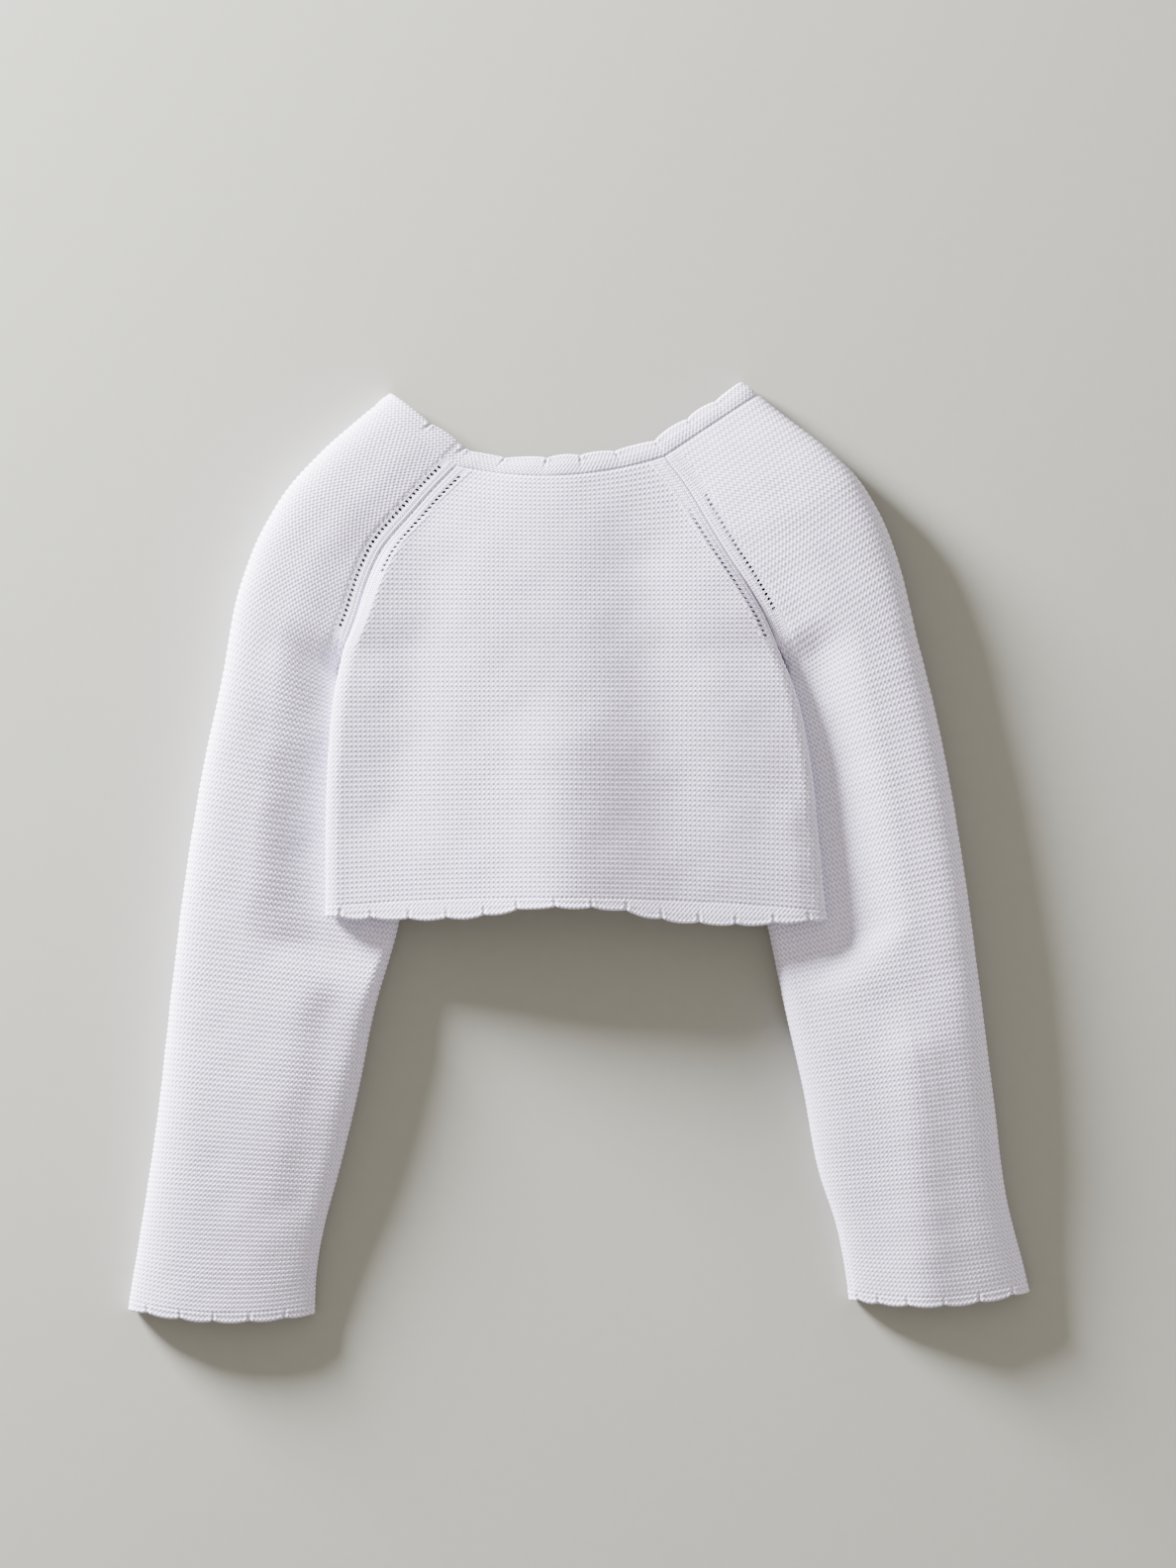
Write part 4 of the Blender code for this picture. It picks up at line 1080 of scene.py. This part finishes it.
# %% Knit a border
def knit_border(name, line, width, pinches, seed):
    """A scalloped strip with pinches, given as distances along its edge."""
    chance = np.random.default_rng(seed)
    at, (outer, inner, way) = even_line(line)
    normal = outer - inner
    normal /= np.linalg.norm(normal, axis=1)[:, None]
    soft = soften(way, WAY_SMOOTHING)
    lobe = lobes_along(at, pinches)
    swing = np.abs(np.sin(math.pi * lobe))
    if name == "hem_border_back":
        width = smooth(outer[:, 0], *zip(*HEM_REACH))
    reach = width - LOBE_DEPTH * (1 - swing ** LOBE_FULLNESS)
    nearest = np.abs(at[:, None] - pinches[None, :]).argmin(axis=1)
    lean = chance.uniform(-PINCH_LEAN, 2 * PINCH_LEAN, len(pinches))[nearest]

    out = ACROSS[None, :] * reach[:, None]
    to_edge = reach[:, None] - out
    from_pinch = np.abs((at - pinches[nearest])[:, None]
                        - lean[:, None] * to_edge ** LEAN_POWER)
    pinched = ease(1 - (to_edge - PINCH_START) / PINCH_LENGTH)
    groove = soft_line(from_pinch, PINCH_WIDTH) * pinched
    threads = soft_line(from_pinch - THREAD_AWAY, THREAD_WIDTH) * pinched
    rounding = WALL / 2 * (1 - np.sqrt(np.clip(
        1 - (1 - to_edge / RIM_ROUND).clip(0, 1) ** 2, SHARPEST_ROUND, 1)))
    at_neck = name == "neck_border"
    seen = ease((outer[:, 0] - NECK_GROOVE_FROM) / NECK_GROOVE_FADE) * (
        outer[:, 2] > OUTER_FOLD)
    at_base = soft_line(out, BASE_GROOVE_WIDTH) * seen[:, None] * at_neck
    ridges = np.cos(2 * math.pi * (out / BORDER_RIDGE - 0.5))
    puff = (NECK_PUFF if at_neck else PLAIN_PUFF) * np.sin(math.pi * ACROSS)
    height = puff * (PUFF_AT_PINCH + (1 - PUFF_AT_PINCH) * swing[:, None])
    height += THREAD_LIFT * threads - PINCH_DEPTH * groove
    height += RIM_LIFT * soft_line(to_edge - RIM_AWAY, RIM_LIFT_WIDTH)
    height -= RIM_GROOVE * soft_line(to_edge - RIM_GROOVE_AWAY, RIM_GROOVE_WIDTH)
    height += BORDER_RIDGE_LIFT * ridges * (1 - at_base) * (to_edge > BORDER_RIDGES_FROM)
    height -= rounding + BASE_GROOVE * at_base

    lay = [(base + way * BORDER_GAP)[:, None, :] + soft[:, None, :] * out[..., None]
           for base in (outer, inner)]
    top = lay[0] + normal[:, None, :] * height[..., None]
    plain = lay[1] + normal[:, None, :] * rounding[..., None]
    sunk = np.minimum(0.0, np.minimum(top, plain)[..., 2:])
    top[..., 2:] -= sunk
    plain[..., 2:] -= sunk
    points = np.vstack([top.reshape(-1, 3), plain.reshape(-1, 3)])
    along = [np.broadcast_to(part[:, None], out.shape) for part in (at / STITCH_SLEEVE, lobe)]
    knit = np.stack([along[0], out / BORDER_RIDGE], axis=-1).reshape(-1, 2)
    seam = np.stack([to_edge, along[1]], axis=-1).reshape(-1, 2)
    # Painted shade in the pinch grooves and in the neck border's base groove.
    crease = np.clip(PINCH_SHADE * groove + BASE_SHADE * at_base, 0, 1).ravel()
    rim = soft_line(to_edge - RIM_AWAY, RIM_WALE_WIDTH).ravel()
    return finish_mesh(name + "_knit", points,
                       closed_strip(np.arange(out.size).reshape(out.shape)),
                       {"knit": np.vstack([knit, knit]), "seam": np.vstack([seam, seam])},
                       {"wales": np.concatenate([rim, rim]),
                        "groove_shade": np.concatenate([crease, crease])})


# %% Knit the borders
neck_line = [np.vstack(parts) for parts in zip(
    edge_line("front_right", last=True, reverse=True),
    edge_line("sleeve_right", last=True, reverse=True),
    edge_line("back", last=True, reverse=True),
    edge_line("sleeve_left", last=True),
    edge_line("front_left", last=True),
)]
borders = {"neck_border": (neck_line, NECK_WIDTH),
           "hem_border_back": (edge_line("back", last=False), HEM_WIDTH)}
for side in ("left", "right"):
    borders["cuff_border_" + side] = (edge_line("sleeve_" + side, last=False), CUFF_WIDTH)
    borders["hem_border_front_" + side] = (edge_line("front_" + side, last=False), HEM_WIDTH)
border_pieces = {}
for seed, (name, (line, width)) in enumerate(borders.items(), start=30):
    border_pieces[name] = knit_border(name, line, width, pinches_along(name, line), seed)

# %% [markdown]
# ## Cotton yarn
#
# The yarn is soft matt cotton, very slightly blue beside the warm table. The mesh has the
# beads of the stitches, and the material adds the snaking yarn, painted shade in the pores
# between its loops and in the grooves of seams and pinches, the plies, and a short nap of
# fibres. Both the panels and the borders need the same stitches, so these are node groups
# with named inputs. They read the knitting coordinates that the mesh carries: stitches across
# and ridges up.

# %% Node helpers
class Graph:
    """Adds nodes to a tree from left to right and links them by name."""

    def __init__(self, tree):
        self.tree = tree
        self.place = 0

    def add(self, kind, inputs=None, **settings):
        node = self.tree.nodes.new(kind)
        node.location = (self.place * 170, -(self.place % 5) * 160)
        self.place += 1
        for key, value in settings.items():
            setattr(node, key, value)
        for key, value in (inputs or {}).items():
            if isinstance(value, bpy.types.NodeSocket):
                self.tree.links.new(value, node.inputs[key])
            else:
                node.inputs[key].default_value = value
        return node

    def math(self, operation, a, b=0.0, c=0.0, clamp=False):
        node = self.add("ShaderNodeMath", {0: a, 1: b, 2: c}, operation=operation)
        node.use_clamp = clamp
        return node.outputs[0]

    def blend(self, share, a, b):
        node = self.add("ShaderNodeMix", {0: share, 2: a, 3: b}, data_type="FLOAT")
        return node.outputs[0]


def new_group(name, inputs, outputs):
    """A shader node group with named inputs and outputs."""
    group = bpy.data.node_groups.new(name, "ShaderNodeTree")
    for label, kind, default in inputs:
        socket = group.interface.new_socket(label, in_out="INPUT", socket_type=kind)
        if default is not None:
            socket.default_value = default
    for label, kind in outputs:
        group.interface.new_socket(label, in_out="OUTPUT", socket_type=kind)
    graph = Graph(group)
    source = graph.add("NodeGroupInput")
    return group, graph, source.outputs


# %% Garter stitch group
# How steeply the yarn snakes, how far it dips, and what the height of a stitch is made of.
YARN_STEEPNESS = 1.6
YARN_DIP = 0.16
BEAD_SHARE, YARN_SHARE, CREST_SHARE = 0.55, 0.35, 0.10
PLY_ACROSS, PLY_ALONG = 26.0, 3.0
# How fast the painted shade in the pores grows as the yarn's height falls.
PORE_SLOPE = 1.5


def make_garter_group():
    """Snaking yarn of garter stitch: height, painted pore shade, plies and tone."""
    group, g, given = new_group(
        "Garter stitch",
        [("Knitting", "NodeSocketVector", None), ("Sway", "NodeSocketFloat", 0.24),
         ("Yarn", "NodeSocketFloat", 0.27), ("Slant", "NodeSocketFloat", 0.16),
         ("Unevenness", "NodeSocketFloat", 0.07)],
        [("Height", "NodeSocketFloat"), ("Pore", "NodeSocketFloat"), ("Ply", "NodeSocketFloat"),
         ("Tone", "NodeSocketFloat")])
    uneven = g.add("ShaderNodeTexNoise", {"Vector": given["Knitting"], "Scale": 0.9,
                                          "Detail": 1.0}, noise_dimensions="2D")
    parts = g.add("ShaderNodeSeparateXYZ", {0: given["Knitting"]})
    off = g.math("MULTIPLY", g.math("SUBTRACT", uneven.outputs["Fac"], 0.5), given["Unevenness"])
    up = g.math("ADD", parts.outputs[1], off)
    leaning = g.math("MULTIPLY", g.math("FRACT", up), given["Slant"])
    across = g.math("MULTIPLY", g.math("ADD", g.math("ADD", parts.outputs[0], off), leaning),
                    2 * math.pi)
    wave = g.math("COSINE", across)
    centre = g.math("MULTIPLY_ADD", wave, given["Sway"], 0.5)
    slope = g.math("MULTIPLY", g.math("SINE", across), YARN_STEEPNESS)
    steep = g.math("SQRT", g.math("MULTIPLY_ADD", slope, slope, 1.0))
    away = g.math("DIVIDE", g.math("SUBTRACT", g.math("FRACT", up), centre), steep)
    share = g.math("DIVIDE", away, given["Yarn"])
    round_part = g.math("SUBTRACT", 1.0, g.math("MULTIPLY", share, share), clamp=True)
    body = g.math("SQRT", round_part)
    crown = g.math("MULTIPLY", g.math("COSINE", g.math("MULTIPLY", across, 2.0)), YARN_DIP)
    yarn = g.math("MULTIPLY", body, g.math("ADD", crown, 1 - YARN_DIP))
    rise = g.math("SINE", g.math("MULTIPLY", up, 2 * math.pi))
    bead = g.math("MULTIPLY_ADD", g.math("MULTIPLY", rise, wave), -0.5, 0.5)
    crest = g.math("MULTIPLY_ADD", g.math("COSINE", g.math("MULTIPLY", up, 2 * math.pi)), -0.5,
                   0.5)
    height = g.math("MULTIPLY_ADD", bead, BEAD_SHARE, g.math("MULTIPLY", yarn, YARN_SHARE))
    height = g.math("MULTIPLY_ADD", crest, CREST_SHARE, height)
    twist = g.math("SINE", g.math("MULTIPLY_ADD", away, PLY_ACROSS,
                                  g.math("MULTIPLY", across, PLY_ALONG)))
    ply = g.math("MULTIPLY", twist, body)
    # Painted shade in the pores: the lower the yarn, the darker.
    pore_shade = g.math("SUBTRACT", 1.0, g.math("MULTIPLY", height, PORE_SLOPE), clamp=True)
    tone = g.add("ShaderNodeTexNoise", {"Vector": given["Knitting"], "Scale": 1.3,
                                        "Detail": 0.0}, noise_dimensions="2D")
    g.add("NodeGroupOutput", {"Height": height, "Pore": pore_shade, "Ply": ply,
                              "Tone": tone.outputs["Fac"]})
    return group


# %% Plain wales group
def make_wales_group():
    """Plain knit wales beside a seam: V-shaped stitches, two rows of them a ridge."""
    group, g, given = new_group(
        "Plain wales",
        [("Seam", "NodeSocketVector", None), ("Wale Width", "NodeSocketFloat", 1.75),
         ("Slant", "NodeSocketFloat", 0.9)],
        [("Height", "NodeSocketFloat"), ("Pore", "NodeSocketFloat")])
    parts = g.add("ShaderNodeSeparateXYZ", {0: given["Seam"]})
    wale = g.math("DIVIDE", parts.outputs[0], given["Wale Width"])
    side = g.math("ABSOLUTE", g.math("SUBTRACT", g.math("FRACT", wale), 0.5))
    row = g.math("MULTIPLY_ADD", side, given["Slant"], g.math("MULTIPLY", parts.outputs[1], 2.0))
    leg = g.math("SINE", g.math("MULTIPLY", g.math("FRACT", g.math("MULTIPLY", side, 2.0)),
                                math.pi))
    bead = g.math("SINE", g.math("MULTIPLY", g.math("FRACT", row), math.pi))
    height = g.math("SQRT", g.math("MULTIPLY", leg, bead))
    # Painted shade in the pores between the V stitches: the lower the stitch, the darker.
    pore_shade = g.math("SUBTRACT", 1.0, g.math("MULTIPLY", height, PORE_SLOPE), clamp=True)
    g.add("NodeGroupOutput", {"Height": height, "Pore": pore_shade})
    return group


# %% Cotton nap group
def make_nap_group():
    """Short fibres and slow changes of tone, the same on every piece of cotton."""
    group, g, given = new_group(
        "Cotton nap",
        [("Fibre Size", "NodeSocketFloat", 0.00022), ("Patch Size", "NodeSocketFloat", 0.030)],
        [("Fibre", "NodeSocketFloat"), ("Patch", "NodeSocketFloat")])
    place_at = g.add("ShaderNodeTexCoord").outputs["Object"]
    fine = g.add("ShaderNodeTexNoise", {"Vector": place_at,
                                        "Scale": g.math("DIVIDE", 1.0, given["Fibre Size"]),
                                        "Detail": 2.0, "Roughness": 0.6})
    slow = g.add("ShaderNodeTexNoise", {"Vector": place_at,
                                        "Scale": g.math("DIVIDE", 1.0, given["Patch Size"]),
                                        "Detail": 2.0, "Roughness": 0.5})
    g.add("NodeGroupOutput", {"Fibre": fine.outputs["Fac"], "Patch": slow.outputs["Fac"]})
    return group


GARTER, WALES, NAP = make_garter_group(), make_wales_group(), make_nap_group()
print("node groups:", GARTER.name, "/", WALES.name, "/", NAP.name)

# %% Cotton materials
# lit is the yarn's own colour; shade is the colour of the painted shade in pores, seam grooves
# and pinches, and random tone leans towards it too.
Cotton = namedtuple("Cotton", "lit shade pore_share bump_mm wale_share")
PANEL_COTTON = Cotton((0.80, 0.744, 0.945), (0.33, 0.31, 0.39), 0.90, 0.25, 1.0)
BORDER_COTTON = Cotton((0.78, 0.725, 0.92), (0.33, 0.31, 0.39), 0.90, 0.25, 0.0)
PLY_LIFT, FIBRE_LIFT = 0.06, 0.12
# PIT_SHADE is how dark the painted shade gets in seam and pinch grooves; the patch and tone
# values are random tone.
PIT_SHADE, PATCH_SHADE, TONE_SHADE = 0.35, 0.08, 0.30
SMOOTHEST, ROUGHEST = 0.80, 0.96
SHEEN, SHEEN_ROUGHNESS = 0.25, 0.5
SHINE = 0.25


def knit_material(name, cotton):
    """Matt knitted cotton that follows the knitting coordinates of its mesh."""
    material = bpy.data.materials.new(name)
    material.use_nodes = True
    tree = material.node_tree
    tree.nodes.clear()
    g = Graph(tree)
    knit = g.add("ShaderNodeUVMap", uv_map="knit").outputs[0]
    seam = g.add("ShaderNodeUVMap", uv_map="seam").outputs[0]
    band = g.add("ShaderNodeAttribute", attribute_name="wales").outputs["Fac"]
    groove_shade = g.add("ShaderNodeAttribute", attribute_name="groove_shade").outputs["Fac"]
    garter = g.add("ShaderNodeGroup", node_tree=GARTER)
    tree.links.new(knit, garter.inputs["Knitting"])
    wales = g.add("ShaderNodeGroup", node_tree=WALES)
    tree.links.new(seam, wales.inputs["Seam"])
    nap = g.add("ShaderNodeGroup", node_tree=NAP)
    share = g.math("MULTIPLY", band, cotton.wale_share)
    height = g.blend(share, garter.outputs["Height"], wales.outputs["Height"])
    pore_shade = g.blend(share, garter.outputs["Pore"], wales.outputs["Pore"])
    detail = g.math("MULTIPLY_ADD", garter.outputs["Ply"], PLY_LIFT, height)
    detail = g.math("MULTIPLY_ADD", nap.outputs["Fibre"], FIBRE_LIFT, detail)
    # Painted shade in the pores and in the grooves of seams and pinches, plus random tone from
    # slow patches and single stitches, mixes the yarn's colour towards the shade colour.
    shade_and_tone = g.math("MULTIPLY", pore_shade, cotton.pore_share)
    shade_and_tone = g.math("MULTIPLY_ADD", groove_shade, PIT_SHADE, shade_and_tone, clamp=True)
    shade_and_tone = g.math("MULTIPLY_ADD", g.math("SUBTRACT", nap.outputs["Patch"], 0.5), PATCH_SHADE,
                  shade_and_tone)
    shade_and_tone = g.math("MULTIPLY_ADD", g.math("SUBTRACT", garter.outputs["Tone"], 0.5), TONE_SHADE,
                  shade_and_tone, clamp=True)
    colour = g.add("ShaderNodeMix", {"Factor": shade_and_tone}, data_type="RGBA")
    colour.inputs[6].default_value = (*cotton.lit, 1.0)
    colour.inputs[7].default_value = (*cotton.shade, 1.0)
    rough = g.add("ShaderNodeMapRange", {"Value": nap.outputs["Fibre"],
                                         "To Min": SMOOTHEST, "To Max": ROUGHEST})
    bump = g.add("ShaderNodeBump", {"Strength": 1.0, "Distance": cotton.bump_mm * MM,
                                    "Height": detail})
    shader = g.add("ShaderNodeBsdfPrincipled", {
        "Base Color": colour.outputs[2], "Roughness": rough.outputs[0],
        "Normal": bump.outputs[0], "Sheen Weight": SHEEN,
        "Sheen Roughness": SHEEN_ROUGHNESS, "Specular IOR Level": SHINE})
    g.add("ShaderNodeOutputMaterial", {"Surface": shader.outputs[0]})
    return material


panel_cotton = knit_material("knitted_cotton", PANEL_COTTON)
border_cotton = knit_material("border_cotton", BORDER_COTTON)
for piece in panels.values():
    piece.data.materials.append(panel_cotton)
for piece in border_pieces.values():
    piece.data.materials.append(border_cotton)
print("materials:", panel_cotton.name, "and", border_cotton.name)

# %% [markdown]
# ## Table, light and camera
#
# The photograph looks straight down. One soft light stands low at the upper left, so it
# grazes the cloth, picks out every ridge, and throws long soft shadows to the lower right.
# The room fills them with a warmer, dimmer light, and a weak white card stands at the right.

# %% The table
FLOOR_HALF = 3.0
FLOOR_COLOUR = (0.308, 0.303, 0.271)
FLOOR_ROUGHNESS, FLOOR_SHINE = 0.85, 0.2
GRAIN_SCALE, GRAIN_SPREAD = 900.0, 0.03
floor_mesh = bpy.data.meshes.new("floor")
floor_mesh.from_pydata([(-FLOOR_HALF, -FLOOR_HALF, 0), (FLOOR_HALF, -FLOOR_HALF, 0),
                        (FLOOR_HALF, FLOOR_HALF, 0), (-FLOOR_HALF, FLOOR_HALF, 0)], [],
                       [(0, 1, 2, 3)])
floor = add_object("floor", floor_mesh)
floor_material = bpy.data.materials.new("painted_table")
floor_material.use_nodes = True
table = Graph(floor_material.node_tree)
paint = floor_material.node_tree.nodes["Principled BSDF"]
grain = table.add("ShaderNodeTexNoise", {"Scale": GRAIN_SCALE, "Detail": 3.0})
tone = table.add("ShaderNodeMapRange", {
    "Value": grain.outputs["Fac"], "To Min": 1 - GRAIN_SPREAD, "To Max": 1 + GRAIN_SPREAD})
mixed = table.add("ShaderNodeMix", {0: 1.0, 6: (*FLOOR_COLOUR, 1.0), 7: tone.outputs[0]},
                  data_type="RGBA", blend_type="MULTIPLY")
floor_material.node_tree.links.new(mixed.outputs[2], paint.inputs["Base Color"])
paint.inputs["Roughness"].default_value = FLOOR_ROUGHNESS
paint.inputs["Specular IOR Level"].default_value = FLOOR_SHINE
floor_mesh.materials.append(floor_material)
print("table:", 2 * FLOOR_HALF, "m wide")

# %% Light
LIGHT_AWAY = 1.8
LIGHT_HEIGHT_DEGREES = 12.0
LIGHT_TURN_DEGREES = 40.0
LIGHT_SIZE = 0.54
LIGHT_POWER = 405.0
LIGHT_COLOUR = (0.96, 0.98, 1.0)
CARD_AT = (0.80, -0.10, 0.17)
CARD_SIZE = (0.9, 0.26)
CARD_POWER = 1.0
FILL = (0.52, 0.494, 0.440)
FILL_STRENGTH = 1.54


def stand_lamp(name, shape, at, power):
    """An area lamp that stands at a place and faces the cardigan."""
    lamp = bpy.data.lights.new(name, "AREA")
    lamp.shape = shape
    lamp.energy = power
    stand = add_object(name, lamp)
    stand.location = at
    stand.rotation_mode = "QUATERNION"
    stand.rotation_quaternion = Vector(at).to_track_quat("Z", "Y")
    return lamp


climb = math.radians(LIGHT_HEIGHT_DEGREES)
turn = math.radians(LIGHT_TURN_DEGREES)
toward = np.array([-math.cos(climb) * math.cos(turn), math.cos(climb) * math.sin(turn),
                   math.sin(climb)])
window = stand_lamp("window", "DISK", toward * LIGHT_AWAY, LIGHT_POWER)
window.size = LIGHT_SIZE
window.color = LIGHT_COLOUR
card = stand_lamp("white card", "RECTANGLE", CARD_AT, CARD_POWER)
card.size, card.size_y = CARD_SIZE

world = bpy.data.worlds.new("room")
world.use_nodes = True
room = world.node_tree.nodes["Background"]
room.inputs["Color"].default_value = (*FILL, 1.0)
room.inputs["Strength"].default_value = FILL_STRENGTH
bpy.context.scene.world = world
print("window light", LIGHT_HEIGHT_DEGREES, "degrees above the table")

# %% Camera
PIXEL = 0.00042
PHOTO_SIZE = (1188, 1584)
CAMERA_HEIGHT = 3.0
CAMERA_OVER = (0.0032, 0.0288)
SENSOR = 36.0
camera = bpy.data.cameras.new("camera")
camera.sensor_width = SENSOR
camera.lens = SENSOR * CAMERA_HEIGHT / (PHOTO_SIZE[1] * PIXEL)
camera.clip_start, camera.clip_end = 0.05, 20.0
camera_object = add_object("camera", camera)
camera_object.location = (*CAMERA_OVER, CAMERA_HEIGHT)
bpy.context.scene.camera = camera_object
print("lens:", round(camera.lens, 1), "mm")

# %% [markdown]
# ## Joining the pieces to the frame
#
# Nothing on a cardigan is hinged, so every piece rides on the one body. Each panel is a
# sheet of cloth that was knitted to a flat shape and is laid on the table or on the panels
# under it, and each border belongs to the panel that it was knitted on to.

# %% A cut of cloth
# The fields of a panel's cloth laid out flat: its width and length in metres, its area, what it
# rests on and its borders. No cut is filled in.
Cut = namedtuple("Cut", "width length area rests_on borders")

# %% Join the pieces to the frame
for name, piece in (*panels.items(), *border_pieces.items()):
    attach(piece, "root")
    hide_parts(name)
